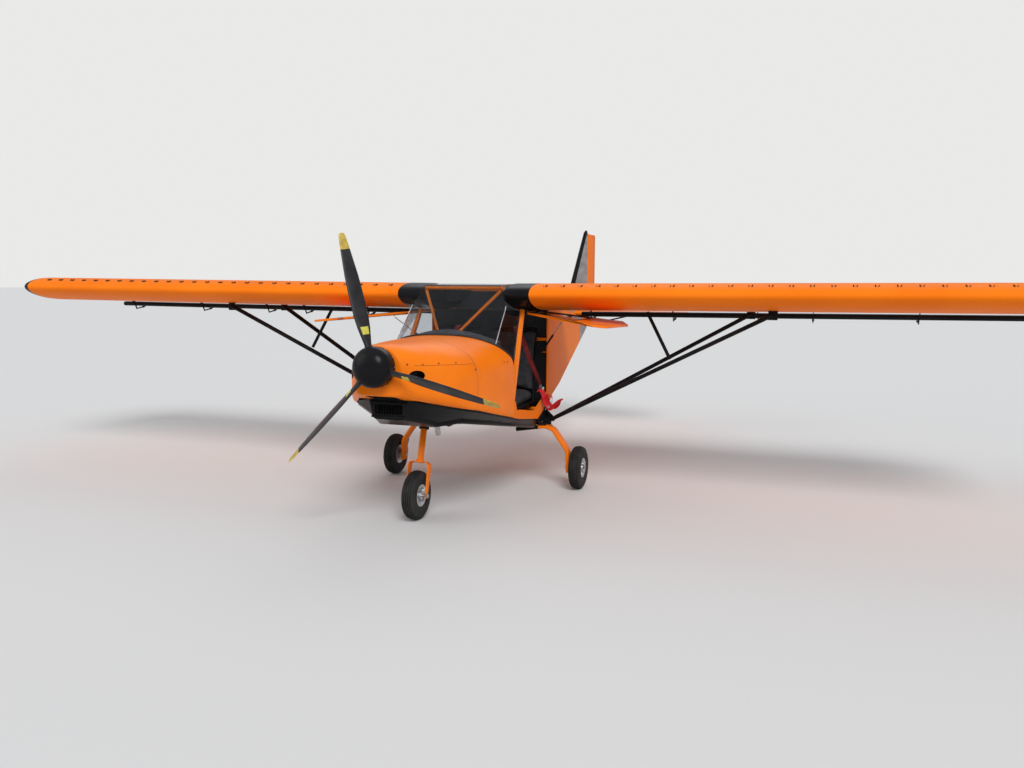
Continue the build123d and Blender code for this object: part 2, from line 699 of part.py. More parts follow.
def front_strut():
    """Return the left front strut."""
    foot, top = strut_ends(STRUT_FRONT_TOP, -STRUT_SIDE)
    return streamline(foot, top) - strut_lug(STRUT_FRONT_TOP, 0.3)


def rear_strut():
    """Return the left rear strut."""
    foot, top = strut_ends(STRUT_REAR_TOP, STRUT_SIDE)
    return streamline(foot, top) - strut_lug(STRUT_REAR_TOP, 0.3)


def jury_struts():
    """Return the light strut between the left wing and its front strut."""
    foot, head = strut_ends(STRUT_FRONT_TOP, -STRUT_SIDE)
    low = Vector(*foot) + (Vector(*head) - Vector(*foot)) * JURY_SHARE
    x, y = JURY_TOP
    wing_point = Vector(x, y, wing_surface_z(x, y, -1) - JURY_R * 0.7)
    away = (wing_point - low).normalized()
    return rod(low + away * (STRUT_SHORT / 2 + JURY_R), wing_point, JURY_R)


def strut_foot():
    """Return the bracket that joins both left struts to the cabin's lower corner."""
    x, y, z = STRUT_FOOT
    outline = [
        (CABIN_HALF + 0.3, 560), (CABIN_HALF + 0.3, 640),
        (x + 22, z + 16), (x + 22, z - 16), (x - 30, z - 24),
    ]
    plate = make_face(Polyline(*[(px, y - 4, pz) for px, pz in outline], close=True))
    return extrude(plate, 8, dir=(0, 1, 0))


def strut_fittings():
    """Return the left side's strut fittings: one at the cabin's lower corner and two below the wing."""
    return Compound([strut_foot(), strut_lug(STRUT_FRONT_TOP, 0.0), strut_lug(STRUT_REAR_TOP, 0.0)])


def tyre():
    """Return a tyre on the X axis at the origin."""
    half = TYRE_WIDTH / 2
    outline = [
        Line((-half + 12, RIM_R), (half - 12, RIM_R)),
        ThreePointArc((half - 12, RIM_R), (half, RIM_R + 46), (half - 22, TYRE_R - 12)),
        ThreePointArc((half - 22, TYRE_R - 12), (0, TYRE_R), (-half + 22, TYRE_R - 12)),
        ThreePointArc((-half + 22, TYRE_R - 12), (-half, RIM_R + 46), (-half + 12, RIM_R)),
    ]
    wall = TYRE_WALL
    air = [
        Line((-half + 20, RIM_R + wall), (half - 20, RIM_R + wall)),
        ThreePointArc((half - 20, RIM_R + wall), (half - wall, RIM_R + 46), (half - 28, TYRE_R - 24)),
        ThreePointArc((half - 28, TYRE_R - 24), (0, TYRE_R - wall - 2), (-half + 28, TYRE_R - 24)),
        ThreePointArc((-half + 28, TYRE_R - 24), (-half + wall, RIM_R + 46), (-half + 20, RIM_R + wall)),
    ]
    return revolve(make_face(outline), Axis.X) - revolve(make_face(air), Axis.X)


def hub(disc_side):
    """Return a wheel's rim and hub on the X axis, with a brake disc on one side if asked."""
    half = HUB_WIDTH / 2
    rim = RIM_R - 0.3
    points = [
        (-half, rim), (half, rim), (half, rim - 12), (8, rim - 20), (8, 34), (half + 6, 30),
        (half + 6, AXLE_R + BORE_CLEARANCE), (-half - 6, AXLE_R + BORE_CLEARANCE), (-half - 6, 30),
        (-8, 34), (-8, rim - 20), (-half, rim - 12),
    ]
    body = revolve(make_face(Polyline(*points, close=True)), Axis.X)
    if disc_side:
        disc = Cylinder(62, 5) - Cylinder(AXLE_R + BORE_CLEARANCE, 5)
        body += place(Rot(Y=90) * disc, (disc_side * (half + 3.5), 0, 0))
    return body


def gear_leaf():
    """Return the left bent leaf of the main undercarriage with its axle."""
    path = FilletPolyline(
        (300, 462), (545, 500), (612, 478), (736, 306), (742, 132), radius=[60, 42, 70]
    )
    leaf = extrude(Plane.XZ * trace(path, LEAF_THICK), -LEAF_WIDTH)
    leaf = place(leaf, (0, MAIN_Y - LEAF_WIDTH / 2, 0))
    axle = rod((742, MAIN_Y, TYRE_R), (MAIN_X + HUB_WIDTH / 2 + 12, MAIN_Y, TYRE_R), AXLE_R)
    nut = rod(
        (MAIN_X + HUB_WIDTH / 2 + 6.5, MAIN_Y, TYRE_R), (MAIN_X + HUB_WIDTH / 2 + 16, MAIN_Y, TYRE_R), 19
    )
    return leaf + axle + nut


def nose_axis_point(z):
    """Return the point of the steering axis at a height."""
    (y0, z0), (y1, z1) = FORK_CROWN, NOSE_LEG_TOP
    return (0.0, y0 + (z - z0) * (y1 - y0) / (z1 - z0), z)


def nose_fork():
    """Return the steered nose leg: tube, crown, two flat arms and axle."""
    crown = nose_axis_point(FORK_CROWN[1])
    leg = rod(crown, nose_axis_point(668.0), NOSE_TUBE_R)
    lean = math.degrees(math.atan2(NOSE_LEG_TOP[0] - FORK_CROWN[0], NOSE_LEG_TOP[1] - FORK_CROWN[1]))
    plate = Rot(X=-lean) * Box(2 * (FORK_ARM_X + FORK_ARM_THICK), 62, 10)
    fork = leg + place(plate, crown)
    drop_y = NOSE_Y - crown[1]
    outline = [
        (crown[1] - 28, crown[2] + 4), (crown[1] + 26, crown[2] - 6),
        (NOSE_Y + 22, TYRE_R + 4), (NOSE_Y + 12, TYRE_R - 22), (NOSE_Y - 12, TYRE_R - 22),
        (NOSE_Y - 24, TYRE_R + 8), (crown[1] + drop_y * 0.35 - 30, crown[2] - 80),
    ]
    for side in (-1, 1):
        outer = side * (FORK_ARM_X + FORK_ARM_THICK) if side > 0 else -FORK_ARM_X
        fork += side_plate(outline, outer, FORK_ARM_THICK)
    reach = FORK_ARM_X + FORK_ARM_THICK + 10
    return fork + rod((-reach, NOSE_Y, TYRE_R), (reach, NOSE_Y, TYRE_R), AXLE_R)


def nose_guide():
    """Return the fixed bearing that the nose leg turns in, below the belly."""
    low = nose_axis_point(628.0)
    high = nose_axis_point(690.0)
    sleeve = rod(low, high, NOSE_TUBE_R + 12) - rod(low, nose_axis_point(672.0), NOSE_TUBE_R + 0.08)
    lid = [
        (FIREWALL_Y, BELLY_FRONT_Z - 0.3), (BELLY_LOW_Y, BELLY_LOW_Z - 0.3),
        (BELLY_LOW_Y, 900), (FIREWALL_Y, 900),
    ]
    return sleeve - side_plate(lid, 200, 400)


def thrust_plane():
    """Return the plane of the propeller disc, its normal pointing forward."""
    tilt = math.radians(THRUST_TILT)
    return Plane(origin=(0, HUB_Y, HUB_Z), x_dir=(1, 0, 0), z_dir=(0, -math.cos(tilt), math.sin(tilt)))


def blade():
    """Return one blade along the local +Y axis of the disc, with its root in the hub."""
    table = (  # radius, chord, thickness, pitch angle
        (60.0, 47.0, 44.0, 60.0),
        (150.0, 50.0, 36.0, 59.0),
        (200.0, 70.0, 30.0, 57.0),
        (330.0, 102.0, 22.0, 53.0),
        (600.0, 92.0, 13.0, 50.0),
        (820.0, 56.0, 8.0, 49.0),
        (PROP_R, 30.0, 5.0, 48.0),
    )
    faces = []
    for radius, chord, thick, pitch in table:
        turn = math.radians(pitch)
        plane = Plane(origin=(0, radius, 0), x_dir=(math.cos(turn), 0, -math.sin(turn)), z_dir=(0, 1, 0))
        faces.append(plane * Ellipse(chord / 2, thick / 2))
    return loft(faces) + rod((0, 0, 0), (0, 70.0, 0), 18)


def propeller():
    """Return the three blades on their hub."""
    single = blade()
    blades = [Rot(Z=PROP_PHASE + 120 * i) * single for i in range(3)]
    core = Cylinder(52, 60)
    for piece in blades:
        core += piece
    return thrust_plane() * core


def dome(radius, base, tip):
    """Return a solid of revolution with an upright rim and a rounded nose, along local Z."""
    rim = 20.0
    (rim_share, _), *rows = SPINNER_PROFILE
    points = [(0, base), (radius * rim_share, base)]
    points += [(radius * r, z * (tip - rim) + rim) for r, z in rows]
    return revolve(Plane.XZ * make_face(Polyline(*points, close=True)), Axis.Z)


def spinner():
    """Return the hollow spinner with its back plate and the openings for the blades."""
    tip = SPINNER_LENGTH - SPINNER_BACK
    shell = dome(SPINNER_R, -SPINNER_BACK - 8, tip) - dome(SPINNER_R - 3, -SPINNER_BACK - 3, tip - 4)
    for i in range(3):
        shell -= Rot(Z=PROP_PHASE + 120 * i) * rod((0, 60, 0), (0, 160, 0), BLADE_HOLE_R)
    return thrust_plane() * shell


def engine():
    """Return the engine as one plain block with its mounts and propeller shaft."""
    length, width, height = ENGINE_SIZE
    block = place(Box(width, length, height), (0, ENGINE_Y, ENGINE_Z))
    for x in (-150, 150):
        for z in (960, 1135):
            block += rod((x, ENGINE_Y, z), (x, FIREWALL_Y - 0.3, z), 14)
    tilt = math.radians(THRUST_TILT)
    back = SPINNER_BACK + 8.4
    nose = (0, HUB_Y + back * math.cos(tilt), HUB_Z - back * math.sin(tilt))
    return block + rod(nose, (0, HUB_Y + 220 * math.cos(tilt), HUB_Z - 220 * math.sin(tilt)), 45)


def exhaust_pipe():
    """Return the short exhaust stub below the belly."""
    y = -470.0
    return tube((0, y + 18, 545), (0, y, belly_z(y) - 8), 21, 2.5)


def fin_body(base_z, top_z, inset):
    """Return the fin's solid between two heights, its walls moved inwards by an inset."""
    rows = []
    for z, front, half in ((base_z, FIN_BASE_Y, FIN_THICK / 2), (top_z, FIN_TOP_Y, FIN_THICK / 3)):
        nose = half * 1.6
        wide = half - inset
        thin = half * 0.6 - inset
        lead = front + inset * 2
        rear = FIN_POST_Y - inset
        outline = [
            Line((thin, rear, z), (wide, front + nose, z)),
            ThreePointArc((wide, front + nose, z), (0, lead, z), (-wide, front + nose, z)),
            Line((-wide, front + nose, z), (-thin, rear, z)),
            Line((-thin, rear, z), (thin, rear, z)),
        ]
        rows.append(make_face(outline))
    return loft(rows, ruled=True)


def fin():
    """Return the fin, a thin swept slab with a round nose."""
    outer = fin_body(TAIL_TOP_Z + 0.3, FIN_TOP_Z, 0.0)
    inner = fin_body(TAIL_TOP_Z + 2.3, FIN_TOP_Z - 2.0, TAIL_SKIN)
    hinge = (STAB_FRONT_Y + STAB_CHORD + ELEVATOR_GAP + ELEVATOR_TUBE_BACK, STAB_Z)
    reach = FIN_THICK
    bore = rod((-reach, *hinge), (reach, *hinge), ELEVATOR_TUBE_R + 6)
    collar = rod((-reach / 2 + 1, *hinge), (reach / 2 - 1, *hinge), ELEVATOR_TUBE_R + 9)
    return outer - inner + collar - bore


def wedge(points, low_z, height):
    """Return an upright prism of an (x, y) outline."""
    outline = make_face(Polyline(*[(x, y, low_z) for x, y in points], close=True))
    return extrude(outline, height, dir=(0, 0, 1))


def rudder():
    """Return the rudder behind the fin."""
    front = FIN_POST_Y + RUDDER_GAP
    rear = front + RUDDER_CHORD
    height = FIN_TOP_Z - 40 - RUDDER_LOW_Z
    body = wedge([(-15, front), (15, front), (3, rear), (-3, rear)], RUDDER_LOW_Z, height)
    inset = TAIL_SKIN
    core = wedge(
        [(inset - 15, front + inset), (15 - inset, front + inset), (1.6, rear - 8), (-1.6, rear - 8)],
        RUDDER_LOW_Z + inset, height - 2 * inset,
    )
    pin_y = front + RUDDER_PIN_BACK
    pin = rod((0, pin_y, RUDDER_LOW_Z - 25), (0, pin_y, RUDDER_LOW_Z + height + 12), RUDDER_PIN_R)
    return body - core + pin


def stab_face(x, front, rear, half):
    """Return a flat aerofoil section across the tailplane."""
    outline = [
        ThreePointArc((x, front + half, STAB_Z + half), (x, front, STAB_Z), (x, front + half, STAB_Z - half)),
        Line((x, front + half, STAB_Z - half), (x, rear, STAB_Z - half * 0.7)),
        Line((x, rear, STAB_Z - half * 0.7), (x, rear, STAB_Z + half * 0.7)),
        Line((x, rear, STAB_Z + half * 0.7), (x, front + half, STAB_Z + half)),
    ]
    return make_face(outline)


def stabiliser():
    """Return the fixed tailplane halves, one each side of the fin."""
    rear = STAB_FRONT_Y + STAB_CHORD
    outer = extrude(
        stab_face(TAIL_SIDE_X, STAB_FRONT_Y, rear, STAB_THICK / 2),
        STAB_HALF_SPAN - TAIL_SIDE_X, dir=(1, 0, 0),
    )
    inner = extrude(
        stab_face(TAIL_SIDE_X + 2, STAB_FRONT_Y + 2, rear - 2, STAB_THICK / 2 - 1.5),
        STAB_HALF_SPAN - TAIL_SIDE_X - 4, dir=(1, 0, 0),
    )
    half = outer - inner
    return Compound([half, mirror_x(half)])


def elevator():
    """Return the elevator halves joined by their torque tube."""
    front = STAB_FRONT_Y + STAB_CHORD + ELEVATOR_GAP
    rear = front + ELEVATOR_CHORD
    skin = TAIL_SKIN
    deep = 16.0
    points = [(front, STAB_Z - deep), (front, STAB_Z + deep), (rear, STAB_Z + 3), (rear, STAB_Z - 3)]
    deep -= skin
    inside = [
        (front + skin, STAB_Z - deep), (front + skin, STAB_Z + deep),
        (rear - 8, STAB_Z + 1.6), (rear - 8, STAB_Z - 1.6),
    ]
    run = STAB_HALF_SPAN - ELEVATOR_INNER_X
    half = side_plate(points, STAB_HALF_SPAN, run)
    half -= side_plate(inside, STAB_HALF_SPAN - skin, run - 2 * skin)
    reach = ELEVATOR_INNER_X + 5
    tube_y = front + ELEVATOR_TUBE_BACK
    return half + mirror_x(half) + rod((-reach, tube_y, STAB_Z), (reach, tube_y, STAB_Z), ELEVATOR_TUBE_R)


def door_outline():
    """Return the door's (y, z) outline before it is turned about its hinge."""
    top_z = DOOR_HINGE_Z - 4
    return [
        (POST_TOP[1] - 5, top_z), (-225, 800), (-186, 707),
        (262, 648), (584, 758), (584, top_z),
    ]


def door_window():
    """Return the door's window outline before it is turned."""
    top_z = DOOR_HINGE_Z - 38
    return [(205, top_z), (-62, 990), (548, 990), (548, top_z)]


def turned_door(shape, turn):
    """Return a shape of the upright left door turned outwards about its hinge."""
    hinge = (DOOR_HINGE_X, 0, DOOR_HINGE_Z)
    return Pos(*hinge) * Rot(Y=-turn) * Pos(-hinge[0], -hinge[1], -hinge[2]) * shape


def door_frame():
    """Return the left door's orange frame, lower panel, cross bar and hinge tube, raised."""
    outer_x = DOOR_HINGE_X - 1
    window = side_plate(door_window(), outer_x + 5, DOOR_THICK + 10)
    recess = [(-150, 940), (-170, 800), (-140, 730), (250, 690), (555, 790), (555, 940)]
    frame = side_plate(door_outline(), outer_x, DOOR_THICK) - window
    frame -= side_plate(recess, outer_x - 3, DOOR_THICK)
    stay_z = DOOR_HINGE_Z - STAY_DOOR_OUT
    low_z = stay_z - 15
    high_z = stay_z + 15
    bar = [(120, low_z), (560, low_z), (560, high_z), (140, high_z)]
    inner_x = outer_x - DOOR_THICK
    frame += side_plate(bar, inner_x + 8, 8)
    frame += rod((inner_x + 1, STAY_DOOR_Y, stay_z), (inner_x - 12, STAY_DOOR_Y, stay_z), 4)
    start, end = DOOR_HINGE_RUN
    frame += rod((DOOR_HINGE_X, start, DOOR_HINGE_Z), (DOOR_HINGE_X, end, DOOR_HINGE_Z), DOOR_HINGE_R)
    return turned_door(frame, DOOR_RAISED_TURN)


def door_glass():
    """Return the left door's clear pane, raised."""
    inset = 0.3
    (y0, z0), (y1, z1), (y2, z2), (y3, z3) = door_window()
    points = [
        (y0 + inset, z0 - inset), (y1 + 1, z1 + inset),
        (y2 - inset, z2 + inset), (y3 - inset, z3 - inset),
    ]
    return turned_door(side_plate(points, DOOR_HINGE_X - 4, DOOR_GLASS), DOOR_RAISED_TURN)


def stay_points():
    """Return the stay's fixed end, and its door end with the door open."""
    door_end = Vertex(DOOR_HINGE_X - 1 - DOOR_THICK - 16, STAY_DOOR_Y, DOOR_HINGE_Z - STAY_DOOR_OUT)
    shut = turned_door(door_end, DOOR_LEAN).center()
    opened = turned_door(door_end, DOOR_RAISED_TURN).center()
    return Vector(*STAY_POST), opened, shut


def stay_cylinder():
    """Return the left stay's cylinder from its ball on the rear post."""
    post, opened, shut = stay_points()
    along = (opened - post).normalized()
    start = post + along * 6
    end = post + along * STAY_BODY
    body = rod(start, end, STAY_R) - rod(post + along * 20, end + along, STAY_ROD_R + 0.5)
    return body


def stay_rod():
    """Return the left stay's rod from inside its cylinder to its eye at the door."""
    post, opened, shut = stay_points()
    along = (opened - post).normalized()
    shut_length = (shut - post).length
    start = opened - along * (shut_length - 40)
    return rod(start, opened - along * 5, STAY_ROD_R)


def build():
    """Return every piece of the aircraft by node name, in the aircraft's own frame."""
    wheel = tyre()
    pair = {
        "wing": wing_span(ROOT_OUTER_X, HALF_SPAN - TIP_WIDTH, WING_SKIN),
        "root_fairing": root_fairing(),
        "wing_tip": wing_tip(),
        "flaperon": flaperon(),
        "wing_struts": Compound([front_strut(), rear_strut()]),
        "side_panel": side_panel(),
        "gear_leg": gear_leaf(),
        "main_tyre": place(wheel, (MAIN_X, MAIN_Y, TYRE_R)),
        "main_hub": place(hub(-1), (MAIN_X, MAIN_Y, TYRE_R)),
        "door_frame": door_frame(),
        "door_glass": door_glass(),
        "stay_cylinder": stay_cylinder(),
        "stay_rod": stay_rod(),
    }
    both = {
        "jury_struts": jury_struts(),
        "flaperon_hangers": flaperon_hangers(),
        "strut_fittings": strut_fittings(),
        "quarter_windows": quarter_window(),
        "seats": seat(),
    }
    nodes = {
        "cowl_upper": cowl_upper(),
        "cowl_lower": cowl_lower(),
        "front_fuselage": front_fuselage(),
        "firewall": firewall(),
        "belly": belly(),
        "rear_fuselage": rear_fuselage(),
        "turtle_deck": turtle_deck(),
        "windscreen": windscreen(),
        "roof_glass": roof_glass(),
        "door_posts": door_posts(),
        "cabin_tubes": cabin_tubes(),
        "instrument_panel": instrument_panel(),
        "control_stick": control_stick(),
        "belts": Compound([lap_belt(), shoulder_belt()]),
        "fin": fin(),
        "rudder": rudder(),
        "stabiliser": stabiliser(),
        "elevator": elevator(),
        "nose_fork": nose_fork(),
        "nose_guide": nose_guide(),
        "nose_tyre": place(wheel, (0, NOSE_Y, TYRE_R)),
        "nose_hub": place(hub(0), (0, NOSE_Y, TYRE_R)),
        "propeller": propeller(),
        "spinner": spinner(),
        "engine": engine(),
        "exhaust_pipe": exhaust_pipe(),
    }
    for name, left in pair.items():
        nodes[name + "_left"] = left
        nodes[name + "_right"] = mirror_x(left)
    for name, left in both.items():
        nodes[name] = Compound([left, mirror_x(left)])
    return nodes


def main():
    """Write one STEP file per node."""
    os.makedirs("parts", exist_ok=True)
    tilt = math.radians(THRUST_TILT)
    spinner_tip_y = HUB_Y - (SPINNER_LENGTH - SPINNER_BACK) * math.cos(tilt)
    rudder_end_y = FIN_POST_Y + RUDDER_GAP + RUDDER_CHORD
    middle = (spinner_tip_y + rudder_end_y) / 2
    print("shift along Y", round(-middle, 3))
    for name, shape in build().items():
        export_step(place(shape, (0, -middle, 0)), f"parts/{name}.step")


if __name__ == "__main__":
    main()
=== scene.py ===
"""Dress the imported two-seat microlight aircraft with its paint, skins, wheels, glazing and seats."""

import json
import math

import bmesh
import bpy
from mathutils import Matrix, Vector


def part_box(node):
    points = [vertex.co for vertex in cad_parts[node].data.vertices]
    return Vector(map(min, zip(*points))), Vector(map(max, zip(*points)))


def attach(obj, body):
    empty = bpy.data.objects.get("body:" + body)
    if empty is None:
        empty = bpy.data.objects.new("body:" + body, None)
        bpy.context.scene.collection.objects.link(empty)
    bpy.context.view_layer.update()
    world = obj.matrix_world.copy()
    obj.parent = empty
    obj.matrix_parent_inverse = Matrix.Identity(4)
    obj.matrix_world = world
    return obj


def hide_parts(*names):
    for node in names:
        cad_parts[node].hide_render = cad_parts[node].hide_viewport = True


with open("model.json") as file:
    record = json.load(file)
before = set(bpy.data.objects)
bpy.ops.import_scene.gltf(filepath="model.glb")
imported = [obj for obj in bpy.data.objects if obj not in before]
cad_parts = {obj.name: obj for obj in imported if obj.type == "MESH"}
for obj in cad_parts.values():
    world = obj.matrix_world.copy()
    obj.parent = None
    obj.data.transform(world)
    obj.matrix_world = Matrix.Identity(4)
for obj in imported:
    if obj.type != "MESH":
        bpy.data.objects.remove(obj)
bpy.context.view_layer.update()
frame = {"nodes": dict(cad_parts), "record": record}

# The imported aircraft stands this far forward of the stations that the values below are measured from
hub_low, hub_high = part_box("main_hub_left")
MAIN_Y = 484.5
STATION_SHIFT = (hub_low[1] + hub_high[1]) / 2 - MAIN_Y / 1000
LEFT = 1
RIGHT = -1
SIDES = ((LEFT, "left"), (RIGHT, "right"))
MERGE_DISTANCE = 0.00002


def at(x, y, z):
    """Return a point given in millimetres from the wing's leading edge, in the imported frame's metres."""
    return Vector((x / 1000, y / 1000 + STATION_SHIFT, z / 1000))


def socket(material, name, value):
    """Set one value of a material's main shader."""
    shader = material.node_tree.nodes["Principled BSDF"]
    shader.inputs[name].default_value = value


def new_material(name, colour, roughness, metallic=0.0, coat=0.0):
    """Return a material with plain values on its main shader."""
    material = bpy.data.materials.new(name)
    material.use_nodes = True
    socket(material, "Base Color", (*colour, 1.0))
    socket(material, "Roughness", roughness)
    socket(material, "Metallic", metallic)
    socket(material, "Coat Weight", coat)
    socket(material, "Coat Roughness", 0.06)
    return material


def object_noise(material, scale, detail, stretch=(1.0, 1.0, 1.0)):
    """Return a noise node that reads the piece's own coordinates."""
    tree = material.node_tree
    coordinates = tree.nodes.new("ShaderNodeTexCoord")
    mapping = tree.nodes.new("ShaderNodeMapping")
    mapping.inputs["Scale"].default_value = stretch
    noise = tree.nodes.new("ShaderNodeTexNoise")
    noise.inputs["Scale"].default_value = scale
    noise.inputs["Detail"].default_value = detail
    tree.links.new(coordinates.outputs["Object"], mapping.inputs["Vector"])
    tree.links.new(mapping.outputs["Vector"], noise.inputs["Vector"])
    return noise


def add_bump(material, scale, height, detail=3.0, stretch=(1.0, 1.0, 1.0)):
    """Give a material a fine uneven surface."""
    tree = material.node_tree
    noise = object_noise(material, scale, detail, stretch)
    bump = tree.nodes.new("ShaderNodeBump")
    bump.inputs["Distance"].default_value = height
    tree.links.new(noise.outputs["Fac"], bump.inputs["Height"])
    tree.links.new(bump.outputs["Normal"], tree.nodes["Principled BSDF"].inputs["Normal"])


def add_mottle(material, dark, light, scale, stretch):
    """Let a material's colour drift between two tones."""
    tree = material.node_tree
    noise = object_noise(material, scale, 4.0, stretch)
    ramp = tree.nodes.new("ShaderNodeValToRGB")
    ramp.color_ramp.elements[0].position = 0.35
    ramp.color_ramp.elements[1].position = 0.65
    ramp.color_ramp.elements[0].color = (*dark, 1.0)
    ramp.color_ramp.elements[1].color = (*light, 1.0)
    tree.links.new(noise.outputs["Fac"], ramp.inputs["Fac"])
    tree.links.new(ramp.outputs["Color"], tree.nodes["Principled BSDF"].inputs["Base Color"])


def painted(
    name, colour, roughness, dark, light, patches, stretch=(1.0, 1.0, 1.0), bump=None, metallic=0.0, coat=0.0,
    specular=None,
):
    """Return a material that drifts between two tones, with a fine uneven surface where bump is given."""
    material = new_material(name, colour, roughness, metallic, coat)
    if specular is not None:
        socket(material, "Specular IOR Level", specular)
    add_mottle(material, dark, light, patches, stretch)
    if bump:
        add_bump(material, *bump)
    return material


ORANGE = (0.95, 0.205, 0.006)
BLACK = (0.008, 0.008, 0.009)

gloss_orange = painted(
    "gloss_orange_paint", ORANGE, 0.34, (0.90, 0.190, 0.005), (0.97, 0.220, 0.007), 2.6,
    bump=(6.0, 0.0012), coat=0.04, specular=0.12,
)
skin_orange = painted(
    "orange_fabric_skin", ORANGE, 0.5, (0.90, 0.185, 0.005), (0.96, 0.212, 0.007), 1.8,
    bump=(30.0, 0.0004), specular=0.06,
)
gloss_black = painted(
    "gloss_black_shell", BLACK, 0.26, (0.006, 0.006, 0.007), (0.012, 0.012, 0.013), 3.0,
    bump=(9.0, 0.0006), coat=0.03, specular=0.08,
)
satin_black = painted(
    "satin_black_metal", (0.012, 0.012, 0.013), 0.45, (0.007, 0.007, 0.008), (0.014, 0.014, 0.014), 12.0,
    bump=(40.0, 0.0002), specular=0.05,
)
tail_grey = painted(
    "mottled_grey_skin", (0.25, 0.26, 0.27), 0.45, (0.17, 0.175, 0.18), (0.33, 0.335, 0.34), 7.0,
    stretch=(1.0, 0.35, 2.2),
)
blade_black = painted(
    "blade_black", (0.020, 0.020, 0.022), 0.34, (0.014, 0.014, 0.016), (0.028, 0.028, 0.030), 10.0,
    coat=0.1, specular=0.25,
)
tinted_sheet = painted("tinted_sheet", (0.60, 0.63, 0.66), 0.03, (0.56, 0.60, 0.63), (0.64, 0.66, 0.69), 3.0)
socket(tinted_sheet, "Transmission Weight", 1.0)
socket(tinted_sheet, "IOR", 1.2)
# Pale colour for a painted highlight: the glint along the windscreen's bend
painted_highlight_bar = painted(
    "painted_bend_highlight", (0.75, 0.77, 0.78), 0.15, (0.6, 0.62, 0.63), (0.85, 0.87, 0.88), 20.0
)
dark_trim = painted(
    "dark_trim", (0.014, 0.014, 0.016), 0.7, (0.010, 0.010, 0.012), (0.020, 0.020, 0.022), 15.0,
    bump=(300.0, 0.0003),
)
coaming_grey = painted(
    "coaming_grey", (0.12, 0.12, 0.13), 0.85, (0.10, 0.10, 0.11), (0.15, 0.15, 0.16), 8.0,
    bump=(500.0, 0.0004),
)
# Near-black cloth colour that paints the shade inside the cabin
painted_shade_lining = painted(
    "dark_lining_painted_shade", (0.010, 0.011, 0.014), 0.9, (0.007, 0.008, 0.010), (0.014, 0.015, 0.018), 10.0,
    bump=(400.0, 0.0004),
)
seat_cloth = painted(
    "dark_seat_cloth", (0.022, 0.023, 0.027), 0.92, (0.016, 0.017, 0.020), (0.030, 0.031, 0.036), 25.0,
    bump=(900.0, 0.0006, 2.0),
)
red_webbing = painted(
    "red_webbing", (0.68, 0.010, 0.016), 0.75, (0.58, 0.009, 0.013), (0.78, 0.015, 0.022), 30.0,
    bump=(1400.0, 0.0005, 1.0, (1.0, 1.0, 0.25)),
)
# A darker copy of the red webbing: painted shade for the shoulder straps inside the shaded cabin
painted_shade_webbing = painted(
    "painted_shade_webbing", (0.24, 0.014, 0.016), 0.85, (0.18, 0.012, 0.013), (0.30, 0.018, 0.020), 30.0,
    bump=(1400.0, 0.0005, 1.0, (1.0, 1.0, 0.25)),
)
tyre_rubber = painted(
    "tyre_rubber", (0.020, 0.020, 0.020), 0.82, (0.015, 0.015, 0.015), (0.030, 0.029, 0.027), 14.0,
    bump=(160.0, 0.0004), specular=0.3,
)
label_yellow = painted("blank_label", (0.62, 0.55, 0.06), 0.5, (0.52, 0.46, 0.05), (0.70, 0.62, 0.10), 60.0)
wheel_alloy = painted(
    "wheel_alloy", (0.62, 0.63, 0.64), 0.34, (0.52, 0.53, 0.54), (0.70, 0.71, 0.72), 18.0,
    bump=(120.0, 0.0003), metallic=0.9,
)
plain_steel = painted(
    "plain_steel", (0.5, 0.5, 0.51), 0.32, (0.40, 0.40, 0.41), (0.58, 0.58, 0.59), 40.0, metallic=0.9
)
engine_grey = painted(
    "engine_grey", (0.06, 0.06, 0.065), 0.6, (0.045, 0.045, 0.05), (0.08, 0.08, 0.085), 12.0
)

MATERIAL_OF_SLOT = {
    "orange_paint": gloss_orange,
    "orange_skin": skin_orange,
    "orange_shell": gloss_orange,
    "black_shell": gloss_black,
    "black_strut": satin_black,
    "black_skin": satin_black,
    "grey_skin": tail_grey,
    "blade": blade_black,
    "clear_sheet": tinted_sheet,
    "dark_trim": dark_trim,
    "seat_cloth": seat_cloth,
    "red_webbing": red_webbing,
    "tyre_rubber": tyre_rubber,
    "wheel_alloy": wheel_alloy,
    "plain_steel": plain_steel,
    "engine_mass": engine_grey,
}
slot_of_node = {part["node"]: part["material_slot"] for part in frame["record"]["subparts"]}
for node_name, node_object in frame["nodes"].items():
    node_object.data.materials.clear()
    node_object.data.materials.append(MATERIAL_OF_SLOT[slot_of_node[node_name]])
fitting_object = frame["nodes"]["strut_fittings"]
fitting_object.data.materials.clear()
fitting_object.data.materials.append(satin_black)


def link_object(name, data):
    """Put an object with this data into the scene."""
    made = bpy.data.objects.new(name, data)
    bpy.context.scene.collection.objects.link(made)
    return made


def evaluated_mesh(piece):
    """Return the mesh that a piece has after its modifiers."""
    return bpy.data.meshes.new_from_object(piece.evaluated_get(bpy.context.evaluated_depsgraph_get()))


def add_piece(shape, name, body, material, stands_for=(), smooth_angle=35.0):
    """Turn a finished shape into a piece that rides on a body."""
    bmesh.ops.remove_doubles(shape, verts=shape.verts, dist=MERGE_DISTANCE)
    bmesh.ops.recalc_face_normals(shape, faces=shape.faces)
    limit = math.radians(smooth_angle)
    for face in shape.faces:
        face.smooth = True
    for edge in shape.edges:
        edge.smooth = len(edge.link_faces) == 2 and edge.calc_face_angle(0.0) < limit
    mesh = bpy.data.meshes.new(name)
    shape.to_mesh(mesh)
    shape.free()
    piece = link_object(name, mesh)
    materials = material if isinstance(material, (list, tuple)) else [material]
    for one in materials:
        mesh.materials.append(one)
    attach(piece, body)
    if stands_for:
        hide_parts(*stands_for)
    return piece


def add_ring(shape, points):
    """Add a closed loop of edges through the points and return its edges."""
    corners = [shape.verts.new(point) for point in points]
    return [shape.edges.new((a, b)) for a, b in zip(corners, corners[1:] + corners[:1])]


